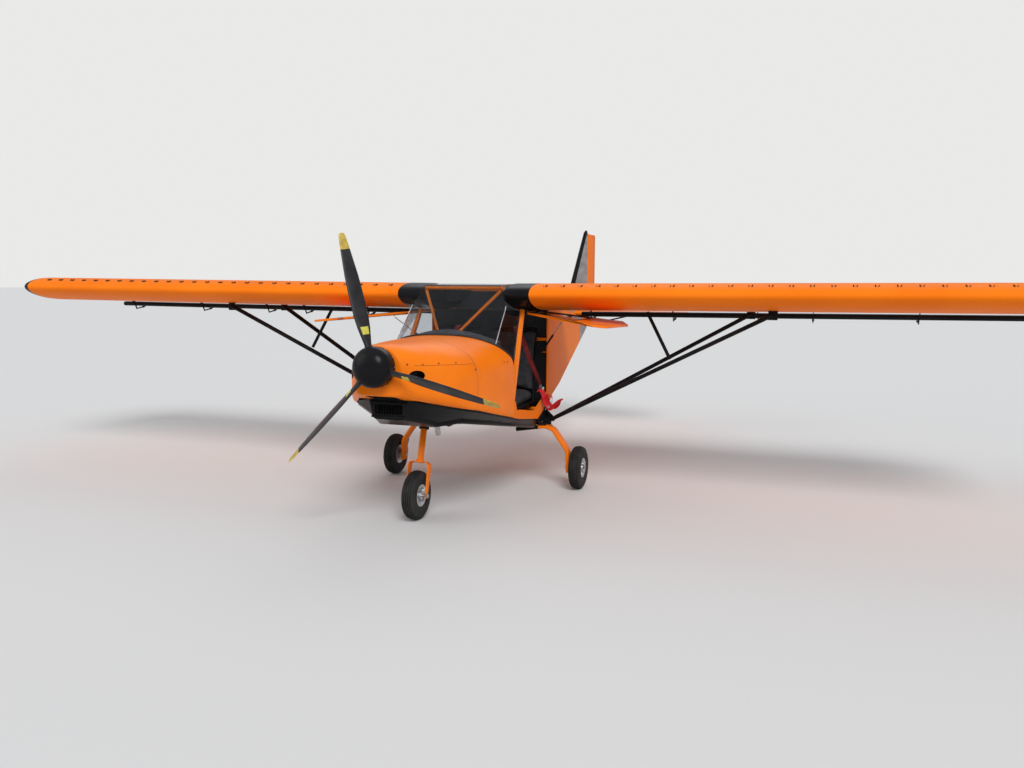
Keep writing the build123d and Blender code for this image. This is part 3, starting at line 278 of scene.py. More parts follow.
def cap_ring(shape, edges):
    """Close the opening inside a loop of edges."""
    bmesh.ops.holes_fill(shape, edges=edges, sides=0)


def loft_rings(shape, rings, close_end=True):
    """Join closed loops of points into one skin."""
    loops = [add_ring(shape, points) for points in rings]
    for first, second in zip(loops, loops[1:]):
        bmesh.ops.bridge_loops(shape, edges=first + second)
    cap_ring(shape, loops[0])
    if close_end:
        cap_ring(shape, loops[-1])


def round_bar(shape, start, end, radius, sides=16):
    """Add a closed round bar between two points."""
    line = Vector(end) - Vector(start)
    turn = line.to_track_quat("Z", "Y").to_matrix().to_4x4()
    place = Matrix.Translation((Vector(start) + Vector(end)) / 2) @ turn
    bmesh.ops.create_cone(
        shape, cap_ends=True, segments=sides, radius1=radius, radius2=radius, depth=line.length, matrix=place
    )


def bar_chain(shape, points, radius):
    """Add thin round bars from each point to the next."""
    for first, second in zip(points, points[1:]):
        round_bar(shape, first, second, radius, 8)


def round_edges(shape, edges, width, segments=2):
    """Round the given edges of a shape."""
    bmesh.ops.bevel(
        shape, geom=edges, offset=width, offset_type="OFFSET", affect="EDGES", segments=segments, profile=0.5,
        material=-1,
    )


def block(shape, centre, size, edge=0.0, turn=None):
    """Add a box with softened edges."""
    place = Matrix.Translation(centre)
    if turn:
        place = place @ turn
    made = bmesh.ops.create_cube(shape, size=1.0, matrix=place @ Matrix.Diagonal((*size, 1.0)))
    if edge:
        round_edges(shape, list({e for v in made["verts"] for e in v.link_edges}), edge)


def spin_profile(shape, profile, axis, centre, steps=64):
    """Turn an open profile of (reach along the axis, radius) points once round an axis."""
    axis = Vector(axis).normalized()
    side = axis.orthogonal().normalized()
    points = [shape.verts.new(Vector(centre) + axis * a + side * r) for a, r in profile]
    edges = [shape.edges.new((a, b)) for a, b in zip(points, points[1:])]
    bmesh.ops.spin(
        shape, geom=points + edges, cent=centre, axis=axis, angle=math.tau, steps=steps, use_merge=True
    )
    bmesh.ops.remove_doubles(shape, verts=shape.verts, dist=MERGE_DISTANCE)


def add_strip(shape, points):
    """Add an open run of edges through the points and return its edges."""
    corners = [shape.verts.new(point) for point in points]
    return [shape.edges.new((a, b)) for a, b in zip(corners, corners[1:])]


def join_strips(shape, runs):
    """Join open runs of points into one sheet."""
    strips = [add_strip(shape, points) for points in runs]
    for first, second in zip(strips, strips[1:]):
        bmesh.ops.bridge_loops(shape, edges=first + second)


def thicken(piece, thickness, inner_slot=0):
    """Give a sheet its wall on the inner side with a modifier."""
    wall = piece.modifiers.new("wall", "SOLIDIFY")
    wall.thickness = thickness
    wall.offset = -1.0
    wall.material_offset = inner_slot
    wall.use_even_offset = True


# Wing sections, in millimetres
WING_CHORD = 1170.0
WING_NOSE_Z = 1570.0
WING_INCIDENCE = math.radians(3.8)
WING_DIHEDRAL = 0.0073
WING_CREST = 351.0
WING_UPPER = 105.0
WING_LOWER = 100.0
WING_EDGE = 6.0
NOSE_STEPS = 14
TAIL_STEPS = 9


def wing_height(y, side):
    """Return the wing's half thickness above or below its chord line."""
    half = WING_UPPER if side > 0 else WING_LOWER
    if y < WING_CREST:
        return half * math.sqrt(max(0.0, 1 - ((WING_CREST - y) / WING_CREST) ** 2))
    share = (y - WING_CREST) / (WING_CHORD - WING_CREST)
    return half - (half - WING_EDGE) * share**2


def wing_point(x, y, height):
    """Return a point of the wing from its station, its place along the chord and its height over it."""
    turned_y = y * math.cos(WING_INCIDENCE) + height * math.sin(WING_INCIDENCE)
    turned_z = -y * math.sin(WING_INCIDENCE) + height * math.cos(WING_INCIDENCE)
    return at(x, turned_y, WING_NOSE_Z + abs(x) * WING_DIHEDRAL + turned_z)


def wing_ring(x, squeeze=1.0, front=0.0, grow=0.0):
    """Return one closed section of the wing, thinned by squeeze and with its nose moved back by front."""
    stations = [WING_CREST * (1 - math.cos(math.pi / 2 * i / NOSE_STEPS)) for i in range(NOSE_STEPS + 1)]
    stations += [WING_CREST + (WING_CHORD - WING_CREST) * i / TAIL_STEPS for i in range(1, TAIL_STEPS + 1)]
    points = []
    for side in (1, -1):
        run = stations if side > 0 else list(reversed(stations[1:]))
        for y in run:
            share = min(y / WING_CREST, 1.0)
            past_crest = max(0.0, (y - WING_CREST) / (WING_CHORD - WING_CREST))
            placed = front * (1 - share) + y - front * 0.3 * past_crest
            points.append(wing_point(x, placed, side * (wing_height(y, side) * squeeze + grow)))
    return points


TIP_START = 4400.0
ROOT_OUTER = 545.0
ROOT_INNER = 325.0

for side, word in SIDES:
    skin = bmesh.new()
    ribs = 12
    reach = TIP_START - ROOT_OUTER
    loft_rings(skin, [wing_ring(side * (ROOT_OUTER + reach * i / ribs)) for i in range(ribs + 1)])
    add_piece(skin, f"wing_skin_{word}", "airframe", skin_orange, [f"wing_{word}"])

    tip = bmesh.new()
    rings = []
    for i in range(9):
        share = math.sin(math.pi / 2 * i / 8)
        drop = math.sqrt(max(0.0, 1 - share**2))
        squeeze = 0.5 + 0.5 * drop
        rings.append(wing_ring(side * (TIP_START + 88.0 * share), squeeze, 72.0 * (1 - drop)))
    loft_rings(tip, rings)
    add_piece(tip, f"tip_cap_{word}", "airframe", gloss_black, [f"wing_tip_{word}"])

    root = bmesh.new()
    rings = []
    for i in range(7):
        share = math.sin(math.pi / 2 * i / 6)
        drop = math.sqrt(max(0.0, 1 - share**2))
        rings.append(
            wing_ring(side * (ROOT_INNER + 44 - 44.0 * share), 0.55 + 0.45 * drop, 40.0 * (1 - drop), 1.0)
        )
    rings.reverse()
    rings.append(wing_ring(side * (ROOT_OUTER + 2), grow=1.0))
    loft_rings(root, rings)
    add_piece(root, f"root_cap_{word}", "airframe", gloss_black, [f"root_fairing_{word}"])

# Small paired vanes along the top of each leading edge
VANE_PITCH = 137.0
VANE_FIRST = 652.0
VANE_COUNT = 27
VANE_LENGTH = 26.0
for side, word in SIDES:
    vanes = bmesh.new()
    for i in range(VANE_COUNT):
        middle = VANE_FIRST + VANE_PITCH * i
        for hand in (-1, 1):
            start = wing_point(side * (middle + hand * 8), 62.0, wing_height(62.0, 1) + 5)
            end = wing_point(side * (middle + hand * 15), 62.0 + VANE_LENGTH, wing_height(88.0, 1) + 5)
            run = end - start
            turn = run.to_track_quat("Y", "Z").to_matrix().to_4x4()
            block(vanes, (start + end) / 2, (0.0012, run.length, 0.012), turn=turn)
    add_piece(vanes, f"nose_vanes_{word}", "airframe", dark_trim)

# Flaperons and their hangers
FLAPERON_HINGE = (1275.0, 1352.0)
FLAPERON_INNER = 640.0
FLAPERON_OUTER = 4400.0
HANGER_STATIONS = (740, 1450, 2142, 2571, 3350, 4215)
HORN_OUTLINE = (  # back and up from the hinge
    (-9.0, 2.0), (-5.0, -9.0), (6.0, -8.0), (56.0, 16.0), (28.0, 16.0),
)
FLAPERON_RISE = 34.0
FLAPERON_SECTION = (  # back from the nose, upper height, lower height
    (0.0, 0.0, 0.0), (3.0, 11.0, -11.0), (9.0, 17.5, -17.5), (20.0, 22.0, -22.0), (45.0, 23.0, -23.0),
    (110.0, 21.0, -20.0), (190.0, 12.0, -11.0), (280.0, 1.5, -1.5),
)
for side, word in SIDES:
    skin = bmesh.new()
    rings = []
    for i in range(9):
        x = FLAPERON_INNER + (FLAPERON_OUTER - FLAPERON_INNER) * i / 8
        base = FLAPERON_HINGE[1] + FLAPERON_RISE + x * WING_DIHEDRAL
        front = FLAPERON_HINGE[0] - 75
        upper = [at(side * x, front + y, base + up) for y, up, low in FLAPERON_SECTION]
        lower = [at(side * x, front + y, base + low) for y, up, low in reversed(FLAPERON_SECTION[1:])]
        rings.append(upper + lower)
    loft_rings(skin, rings)
    for x in HANGER_STATIONS:
        horn_z = FLAPERON_HINGE[1] + x * WING_DIHEDRAL
        for offset in (-6.3, 6.3):
            sides = [
                [at(side * (x + offset) + cheek, FLAPERON_HINGE[0] + y, horn_z + z) for y, z in HORN_OUTLINE]
                for cheek in (-2.5, 2.5)
            ]
            loft_rings(skin, sides)
    add_piece(
        skin, f"flaperon_skin_{word}", f"flaperon_{word}", gloss_black, [f"flaperon_{word}"]
    )

# Wheels
MAIN_X = 823.0
NOSE_Y = -826.0
AXLE_Z = 175.0
TREAD_PROFILE = (  # reach from the middle, radius
    (-37.0, 78.5), (-44.0, 84.0), (-49.0, 104.0), (-49.8, 124.0), (-47.0, 143.0), (-41.0, 157.0),
    (-35.0, 164.5), (-33.0, 166.0), (-32.0, 160.0), (-27.0, 160.0), (-26.0, 169.0), (-19.0, 171.0),
    (-18.0, 164.0), (-13.0, 164.0), (-12.0, 172.8), (-5.0, 173.8), (-4.0, 166.0), (4.0, 166.0),
    (5.0, 173.8), (12.0, 172.8), (13.0, 164.0), (18.0, 164.0), (19.0, 171.0), (26.0, 169.0), (27.0, 160.0),
    (32.0, 160.0), (33.0, 166.0), (35.0, 164.5), (41.0, 157.0), (47.0, 143.0), (49.8, 124.0),
    (49.0, 104.0), (44.0, 84.0), (37.0, 78.5),
)
RIM_PROFILE = (
    (-38.5, 60.0), (-38.5, 74.0), (-40.0, 78.0), (-36.0, 77.5), (-33.0, 70.0), (-10.0, 64.0), (10.0, 64.0),
    (33.0, 70.0), (36.0, 77.5), (40.0, 78.0), (38.5, 74.0), (38.5, 60.0), (30.0, 58.0), (9.0, 54.0),
    (8.0, 34.0), (14.0, 32.0), (44.0, 27.0), (44.0, 13.0), (-44.0, 13.0), (-44.0, 27.0), (-14.0, 32.0),
    (-8.0, 34.0), (-9.0, 54.0), (-30.0, 58.0), (-38.5, 60.0),
)
WHEELS = (  # name, body, tyre node, hub node, centre, outward side
    ("nose", "nose_wheel", "nose_tyre", "nose_hub", (0.0, NOSE_Y, AXLE_Z), 1),
    ("left", "main_wheel_left", "main_tyre_left", "main_hub_left", (MAIN_X, MAIN_Y, AXLE_Z), 1),
    ("right", "main_wheel_right", "main_tyre_right", "main_hub_right", (-MAIN_X, MAIN_Y, AXLE_Z), -1),
)
for word, body, tyre_node, hub_node, centre, out in WHEELS:
    middle = at(*centre)
    tyre = bmesh.new()
    spin_profile(tyre, [(a / 1000, r / 1000) for a, r in TREAD_PROFILE], (1, 0, 0), middle, 96)
    add_piece(tyre, f"tyre_{word}", body, tyre_rubber, [tyre_node])
    rim = bmesh.new()
    spin_profile(rim, [(a / 1000, r / 1000) for a, r in RIM_PROFILE], (1, 0, 0), middle, 72)
    for i in range(6):
        angle = math.tau * i / 6
        spot = middle + Vector((out * 0.009, 0.045 * math.cos(angle), 0.045 * math.sin(angle)))
        round_bar(rim, spot - Vector((out * 0.02, 0, 0)), spot + Vector((out * 0.005, 0, 0)), 0.0055, 6)
    valve = middle + Vector((out * 0.03, 0.05, 0.036))
    round_bar(rim, valve, valve + Vector((out * 0.02, 0.004, 0.003)), 0.003, 8)
    add_piece(rim, f"rim_{word}", body, wheel_alloy, [hub_node])
    if word != "nose":
        disc = bmesh.new()
        disc_outline = ((39.5, 30.0), (39.5, 62.0), (43.5, 62.0), (43.5, 30.0), (39.5, 30.0))
        spin_profile(disc, [(-out * a / 1000, r / 1000) for a, r in disc_outline], (1, 0, 0), middle, 64)
        add_piece(disc, f"brake_disc_{word}", body, plain_steel)

# Propeller
HUB = at(0.0, -1433.0, 1132.0)
THRUST_TILT = math.radians(4.2)
PROP_PHASE = 16.53
BLADE_SECTIONS = (  # radius, chord, thickness, pitch
    (60.0, 47.0, 44.0, 60.0), (110.0, 47.5, 42.0, 60.0), (150.0, 50.0, 36.0, 59.0),
    (200.0, 70.0, 30.0, 57.0), (260.0, 90.0, 25.0, 55.0), (330.0, 102.0, 22.0, 53.0),
    (430.0, 102.0, 18.5, 51.5), (520.0, 98.0, 15.5, 50.5), (600.0, 92.0, 13.0, 50.0),
    (700.0, 76.0, 10.5, 49.5), (770.0, 64.5, 9.0, 49.0), (772.0, 64.0, 9.0, 49.0),
    (830.0, 54.0, 7.5, 49.0), (860.0, 45.0, 6.5, 48.5), (874.0, 34.0, 5.0, 48.0), (877.7, 19.0, 3.0, 48.0),
)
TIP_FROM = 771.0
thrust_axis = Vector((0.0, -math.cos(THRUST_TILT), math.sin(THRUST_TILT)))
disc_right = Vector((1.0, 0.0, 0.0))
disc_up = thrust_axis.cross(disc_right)
BLADE_POINTS = 28


def disc_frame(turn_degrees):
    """Return a blade's outward direction and the direction across it in the propeller's disc."""
    turn = math.radians(turn_degrees)
    out = disc_up * math.cos(turn) - disc_right * math.sin(turn)
    across = disc_right * math.cos(turn) + disc_up * math.sin(turn)
    return out, across


def blade_ring(out, across, radius, chord, thick, pitch):
    """Return one closed section of a blade, rounded at its front edge and thin at its back edge."""
    turn = math.radians(pitch)
    chord_line = across * math.cos(turn) - thrust_axis * math.sin(turn)
    face_line = chord_line.cross(out)
    sharp = max(0.0, 1 - thick / chord * 1.15)
    points = []
    for i in range(BLADE_POINTS):
        angle = math.tau * i / BLADE_POINTS
        along = math.cos(angle)
        height = math.sin(angle) * (1 - sharp * 0.35 * (1 + along))
        points.append(
            HUB + out * radius / 1000 + chord_line * along * chord / 2000 + face_line * height * thick / 2000
        )
    return points


blade_tip = painted(
    "blade_tip_yellow", (0.48, 0.33, 0.05), 0.42, (0.42, 0.28, 0.04), (0.60, 0.44, 0.08), 30.0,
    bump=(120.0, 0.0002),
)
for i in range(3):
    out, across = disc_frame(PROP_PHASE + 120 * i)
    blade = bmesh.new()
    loft_rings(blade, [blade_ring(out, across, *section) for section in BLADE_SECTIONS])
    for face in blade.faces:
        if (face.calc_center_median() - HUB).dot(out) > TIP_FROM / 1000:
            face.material_index = 1
    stands_for = ["propeller"] if i == 0 else []
    add_piece(blade, f"blade_{i + 1}", "propeller", [blade_black, blade_tip], stands_for, 60.0)
hub_core = bmesh.new()
round_bar(hub_core, HUB - thrust_axis * 0.03, HUB + thrust_axis * 0.03, 0.052, 48)
add_piece(hub_core, "propeller_hub", "propeller", plain_steel)

SPINNER_R = 131.0
SPINNER_TIP = 105.0
spinner_shell = bmesh.new()
outline = [(-47.0, 60.0), (-47.0, 127.0), (-45.0, 130.0)] + [(a, SPINNER_R) for a in (-42.0, -10.0, 20.0)]
for i in range(1, 23):
    angle = math.pi / 2 * i / 22
    outline.append((20.0 + (SPINNER_TIP - 20.0) * math.sin(angle), SPINNER_R * math.cos(angle) ** 0.92))
outline[-1] = (SPINNER_TIP, 0.0)
spin_profile(spinner_shell, [(a / 1000, r / 1000) for a, r in outline], thrust_axis, HUB, 96)
add_piece(spinner_shell, "spinner_shell", "propeller", gloss_black, ["spinner"])
spinner_screws = bmesh.new()
for i in range(12):
    out, across = disc_frame(PROP_PHASE + 15 + 30 * i)
    spot = HUB - thrust_axis * 0.034 + out * 0.130
    round_bar(spinner_screws, spot - out * 0.004, spot + out * 0.0022, 0.0048, 12)
add_piece(spinner_screws, "spinner_screws", "propeller", plain_steel)
spinner_cuffs = bmesh.new()
CUFF_PROFILE = ((-6.0, 26.0), (-6.0, 30.0), (5.0, 30.0), (6.5, 28.0), (5.0, 26.0), (-6.0, 26.0))
for i in range(3):
    out, across = disc_frame(PROP_PHASE + 120 * i)
    place = HUB + out * 0.125
    spin_profile(spinner_cuffs, [(a / 1000, r / 1000) for a, r in CUFF_PROFILE], out, place, 40)
add_piece(spinner_cuffs, "blade_cuffs", "propeller", dark_trim)

# A blank label near each blade's root
blade_labels = bmesh.new()
for i in range(3):
    out, across = disc_frame(PROP_PHASE + 120 * i)
    runs = []
    for radius in (212.0, 236.0, 262.0):
        share = (radius - 200.0) / 60.0
        chord = 70.0 + 20.0 * share
        thick = 30.0 - 5.0 * share
        pitch = 57.0 - 2.0 * share
        ring = blade_ring(out, across, radius, chord, thick + 1.2, pitch)
        runs.append(ring[4:11])
    join_strips(blade_labels, runs)
add_piece(blade_labels, "blade_labels", "propeller", label_yellow)

# Nose and forward fuselage: y, half width, lowest z, shoulder z, top z, squareness of the shoulders
NOSE_ROWS = (
    (-1364.0, 168.0, 942.0, 1080.0, 1258.0, 2.3),
    (-1315.0, 216.0, 926.0, 1070.0, 1268.0, 2.3),
    (-1150.0, 314.0, 880.0, 1040.0, 1272.0, 2.3),
    (-1000.0, 396.0, 840.0, 1010.0, 1274.0, 2.35),
    (-800.0, 455.0, 795.0, 985.0, 1275.0, 2.45),
    (-350.0, 515.0, 690.0, 985.0, 1275.0, 2.65),
    (-240.0, 520.0, 668.0, 990.0, 1275.0, 2.7),
)
SCREEN_LINE = ((-390.0, 1275.0), (-213.0, 1080.0))


def smooth_rows(rows, y):
    """Return the values of a table at a station, on a smooth curve through its rows."""
    last = len(rows) - 1
    i = 0
    while i < last - 1 and y > rows[i + 1][0]:
        i += 1
    y0, y1 = rows[i][0], rows[i + 1][0]
    share = min(max((y - y0) / (y1 - y0), 0.0), 1.0)
    values = []
    for column in range(1, len(rows[0])):
        a, b = rows[i][column], rows[i + 1][column]
        run = (b - a) / (y1 - y0)
        before = (a - rows[i - 1][column]) / (y0 - rows[i - 1][0]) if i else run
        after = (rows[i + 2][column] - b) / (rows[i + 2][0] - y1) if i + 2 <= last else run
        start = (before + run) / 2 * (y1 - y0)
        end = (run + after) / 2 * (y1 - y0)
        s2, s3 = share**2, share**3
        first = (2 * s3 - 3 * s2 + 1) * a + (s3 - 2 * s2 + share) * start
        values.append(first + (3 * s2 - 2 * s3) * b + (s3 - s2) * end)
    return values


def corner_fold(y):
    """Return how much the nose's lower corners are rounded at a station."""
    return 14.0 + 34.0 * min(max((-850.0 - y) / 300.0, 0.0), 1.0)


def side_reach(y, z, grow=0.0):
    """Return how far the nose's side stands from the middle at a station and a height."""
    half, low, shoulder, top, power = smooth_rows(NOSE_ROWS, y)
    rise = min(max((z - shoulder) / (top - shoulder), 0.0), 0.995)
    return half * (1 - rise**power) ** (1 / power) + grow


def sections(outline, stations):
    """Return the points of an outline function at each of the stations."""
    return [[at(x, y, z) for x, z in outline(y)] for y in stations]


def nose_arch(y, grow=0.0):
    """Return the orange skin's open section at a station, from the left edge over the top to the right."""
    half, low, shoulder, top, power = smooth_rows(NOSE_ROWS, y)
    half += grow
    top += grow
    fold = corner_fold(y)
    points = [(half - fold, low), (half - fold * 0.29, low + fold * 0.29), (half, low + fold)]
    points += [(half, low + fold + (shoulder - low - fold) * i / 5) for i in range(1, 6)]
    for i in range(1, 17):
        angle = math.pi / 2 * i / 16
        across = half * math.cos(angle) ** (2 / power)
        up = shoulder + (top - shoulder) * math.sin(angle) ** (2 / power)
        points.append((across, up))
    points[-1] = (0.0, top)
    return points + [(-x, z) for x, z in reversed(points[:-1])]


def cut_away(piece, cutter_shape):
    """Cut a closed tool shape out of a piece and keep the result as its mesh."""
    tool_mesh = bpy.data.meshes.new("cutting_tool")
    cutter_shape.to_mesh(tool_mesh)
    cutter_shape.free()
    tool = link_object("cutting_tool", tool_mesh)
    cut = piece.modifiers.new("cut", "BOOLEAN")
    cut.operation = "DIFFERENCE"
    cut.object = tool
    cut.solver = "EXACT"
    bpy.context.view_layer.update()
    finished = evaluated_mesh(piece)
    piece.modifiers.clear()
    piece.data = finished
    bpy.data.objects.remove(tool)
    bpy.data.meshes.remove(tool_mesh)


COWL_FRONT = -1364.0
CHIN_FRONT = -1238.0


def floor_run(y):
    """Return the points across the cowl's orange floor at a station, between the arch's two ends."""
    half, low = smooth_rows(NOSE_ROWS, y)[:2]
    return [((half - corner_fold(y)) * (1 - i / 4), low) for i in range(9)]


def front_loop(scale):
    """Return the cowl's closed front outline, drawn in towards the shaft."""
    outline = nose_arch(COWL_FRONT) + list(reversed(floor_run(COWL_FRONT)[1:-1]))
    return [(x * scale, 1105.0 + (z - 1105.0) * scale) for x, z in outline]


cowl_stations = [COWL_FRONT, -1356.0, -1342.0, -1315.0]
cowl_stations += [-1315.0 + (1315.0 - 800.0) * i / 16 for i in range(1, 17)]
floor_stations = [COWL_FRONT, -1342.0, -1315.0, -1275.0, CHIN_FRONT]
cowl = bmesh.new()
front_loops = [(0.7, -1368.5), (0.93, -1368.5), (0.985, -1367.0), (1.0, COWL_FRONT)]
loft_rings(cowl, [[at(x, y, z) for x, z in front_loop(scale)] for scale, y in front_loops], close_end=False)
join_strips(cowl, sections(nose_arch, cowl_stations))
join_strips(cowl, sections(floor_run, floor_stations))
cowl_skin = add_piece(
    cowl, "cowl_skin", "airframe", [gloss_orange, dark_trim], ["cowl_upper"], 50.0
)
thicken(cowl_skin, 0.003, inner_slot=1)
holes = bmesh.new()
for x in (-230.0, 230.0):
    round_bar(holes, at(x, -1450.0, 1072.0), at(x, -1180.0, 1072.0), 0.035, 40)
round_bar(holes, at(0.0, -1450.0, 1132.0), at(0.0, -1340.0, 1127.0), 0.06, 40)
block(holes, at(0.0, -1320.0, 886.0), (0.224, 0.17, 0.1), 0.012)
cut_away(cowl_skin, holes)

deck = bmesh.new()
deck_stations = [-799.0 + (799.0 - 241.0) * i / 14 for i in range(15)]
join_strips(deck, sections(nose_arch, deck_stations))
(cut_y, cut_z), (end_y, end_z) = SCREEN_LINE
bmesh.ops.bisect_plane(
    deck, geom=deck.verts[:] + deck.edges[:] + deck.faces[:], plane_co=at(0.0, cut_y, cut_z),
    plane_no=Vector((0.0, cut_z - end_z, end_y - cut_y)), clear_outer=True,
)
deck_skin = add_piece(
    deck, "deck_skin", "airframe", [gloss_orange, dark_trim], ["front_fuselage"], 50.0
)
# The inner face takes the dark trim colour as painted shade inside the deck
thicken(deck_skin, 0.003, inner_slot=1)

# Fasteners and seams on the nose, at the places that the photograph shows
seam_dark = painted(
    "seam_shadow", (0.30, 0.062, 0.008), 0.6, (0.22, 0.045, 0.006), (0.38, 0.08, 0.01), 20.0
)
COWL_BOLTS = (  # y, z
    (-1335.0, 1148.0), (-1240.0, 1142.0), (-1120.0, 1141.0), (-985.0, 1135.0), (-812.0, 1078.0),
    (-394.0, 1095.0), (-340.0, 1092.0),
)
cowl_bolts = bmesh.new()
for side in (LEFT, RIGHT):
    for y, z in COWL_BOLTS:
        x = side_reach(y, z)
        out = Vector((side * 1.0, -0.2, 0.25)).normalized()
        spot = at(side * x, y, z)
        round_bar(cowl_bolts, spot - out * 0.004, spot + out * 0.0022, 0.0062, 14)
        round_bar(cowl_bolts, spot + out * 0.002, spot + out * 0.003, 0.0035, 8)
add_piece(cowl_bolts, "cowl_fasteners", "airframe", seam_dark)

seam = bmesh.new()
join_strips(seam, [[at(x, -800.0 + offset, z) for x, z in nose_arch(-800.0, 0.6)] for offset in (-1.6, 1.6)])
split_stations = [-1300.0 + 500.0 * i / 16 for i in range(17)]
for side in (LEFT, RIGHT):
    runs = []
    for offset in (-1.2, 1.2):
        run = []
        for y in split_stations:
            level = 1138.0 - 22.0 * (y + 1300.0) / 500.0 + offset
            run.append(at(side * side_reach(y, level, 0.6), y, level))
        runs.append(run)
    join_strips(seam, runs)
add_piece(seam, "cowl_seams", "airframe", seam_dark)

# Black chin, air scoop and belly: y, top half width, bottom half width, top z, bottom z
CHIN_ROWS = (
    (-1232.0, 140.0, 122.0, 900.0, 770.0),
    (-1120.0, 292.0, 160.0, 868.0, 744.0),
    (-950.0, 385.0, 235.0, 828.0, 688.0),
    (-800.0, 452.0, 350.0, 795.0, 697.0),
    (-500.0, 493.0, 430.0, 728.0, 646.0),
    (-350.0, 513.0, 470.0, 692.0, 620.0),
    (-100.0, 518.0, 490.0, 642.0, 578.0),
    (150.0, 518.0, 492.0, 606.0, 534.0),
    (339.0, 518.0, 492.0, 580.0, 502.0),
    (400.0, 518.0, 492.0, 598.0, 491.0),
    (560.0, 517.0, 494.0, 651.0, 582.0),
    (759.0, 512.0, 500.0, 718.0, 700.0),
)


def trough_ring(y, top_half, low_half, top, low):
    """Return one closed section of the chin or belly with its lower corners rounded."""
    points = [(top_half, top), (top_half - 2, top - 14)]
    radius = min(34.0, (top - low) * 0.4)
    for i in range(6):
        angle = math.pi / 2 * i / 5
        points.append((low_half - radius + radius * math.cos(angle), low + radius - radius * math.sin(angle)))
    points += [(-x, z) for x, z in reversed(points)]
    return [at(x, y, z) for x, z in points]


under = bmesh.new()
loft_rings(under, [trough_ring(*row) for row in CHIN_ROWS])
belly_skin = add_piece(
    under, "belly_skin", "airframe", gloss_black, ["belly", "cowl_lower"], 28.0
)
mouth = bmesh.new()
block(mouth, at(0.0, -1235.0, 838.0), (0.2, 0.05, 0.064), 0.008)
cut_away(belly_skin, mouth)
scoop = bmesh.new()
block(scoop, at(0.0, -1236.0, 915.0), (0.21, 0.012, 0.046), 0.004)
block(scoop, at(0.0, -1240.0, 884.0), (0.262, 0.026, 0.016), 0.006)
block(scoop, at(0.0, -1238.0, 790.0), (0.246, 0.018, 0.014), 0.005)
for i in range(9):
    block(scoop, at(-80.0 + 20.0 * i, -1213.0, 838.0), (0.0012, 0.03, 0.062))
add_piece(scoop, "scoop_lips", "airframe", satin_black)

# Rear fuselage: y, half width, lowest z, highest z
REAR_ROWS = (
    (640.0, 520.0, 663.7, 1440.0),
    (759.0, 512.0, 720.0, 1440.0),
    (1170.0, 458.0, 778.7, 1478.0),
    (2860.0, 178.8, 1020.0, 1300.0),
    (3700.0, 40.0, 1140.0, 1300.0),
)
GREY_FROM = 2950.0
RIVET_R = 0.0032
RIVET_PITCH = 0.055


def row_values(rows, y):
    """Return the values of a table at a station, on straight lines between its rows."""
    for first, second in zip(rows, rows[1:]):
        if y <= second[0]:
            share = (y - first[0]) / (second[0] - first[0])
            return [a + (b - a) * share for a, b in zip(first[1:], second[1:])]
    return list(rows[-1][1:])


def rear_ring(y):
    """Return one closed section of the rear fuselage with small folded corners."""
    half, low, high = row_values(REAR_ROWS, y)
    fold = 7.0
    points = [
        (half - fold, low), (half - 2, low + 2), (half, low + fold),
        (half, high - fold), (half - 2, high - 2), (half - fold, high),
    ]
    return [at(x, y, z) for x, z in points + [(-x, z) for x, z in reversed(points)]]


aft_stations = (
    640.0, 759.0, 900.0, 1170.0, 1600.0, 2000.0, 2400.0, 2860.0, GREY_FROM - 9, GREY_FROM, 3300.0, 3700.0
)
tail_cone = bmesh.new()
loft_rings(tail_cone, [rear_ring(y) for y in aft_stations])
for face in tail_cone.faces:
    centre_y = (face.calc_center_median().y - STATION_SHIFT) * 1000
    if centre_y > GREY_FROM:
        face.material_index = 1
    elif centre_y > GREY_FROM - 9:
        face.material_index = 2
    # The front face, inside the cabin, takes the dark trim colour as painted shade
    if centre_y < 640.5:
        face.material_index = 3
add_piece(
    tail_cone, "rear_skin", "airframe", [skin_orange, tail_grey, gloss_black, dark_trim], ["rear_fuselage"],
    20.0,
)


def rivet_row(shape, start, end, outward, pitch):
    """Add small domed rivet heads along a line."""
    start, end, outward = Vector(start), Vector(end), Vector(outward).normalized()
    count = max(2, round((end - start).length / pitch))
    turn = outward.to_track_quat("Z", "Y").to_matrix().to_4x4()
    for i in range(count + 1):
        place = Matrix.Translation(start.lerp(end, i / count)) @ turn
        bmesh.ops.create_cone(
            shape, cap_ends=True, segments=7, radius1=RIVET_R, radius2=RIVET_R * 0.45, depth=0.0022,
            matrix=place
        )


rivets = bmesh.new()
for side in (LEFT, RIGHT):
    for first, second in zip(REAR_ROWS, REAR_ROWS[1:]):
        for low_edge in (True, False):
            line = []
            for y, half, low, high in (first, second):
                line.append(at(side * (half + 0.6), y, low + 22 if low_edge else high - 22))
            rivet_row(rivets, line[0], line[1], (side, 0.15, 0), RIVET_PITCH)
    for y in (800.0, 1170.0, 1600.0, 2050.0, 2500.0, 2930.0, 3300.0):
        half, low, high = row_values(REAR_ROWS, y)
        x = side * (half + 0.6)
        rivet_row(rivets, at(x, y, low + 40), at(x, y, high - 40), (side, 0.15, 0), RIVET_PITCH)
add_piece(rivets, "fuselage_rivets", "airframe", skin_orange)

# Fin, rudder, tailplane and elevator
FIN_LOW = (2870.0, 1300.3)
FIN_HIGH = (3735.0, 2270.0)
FIN_POST = 3790.0


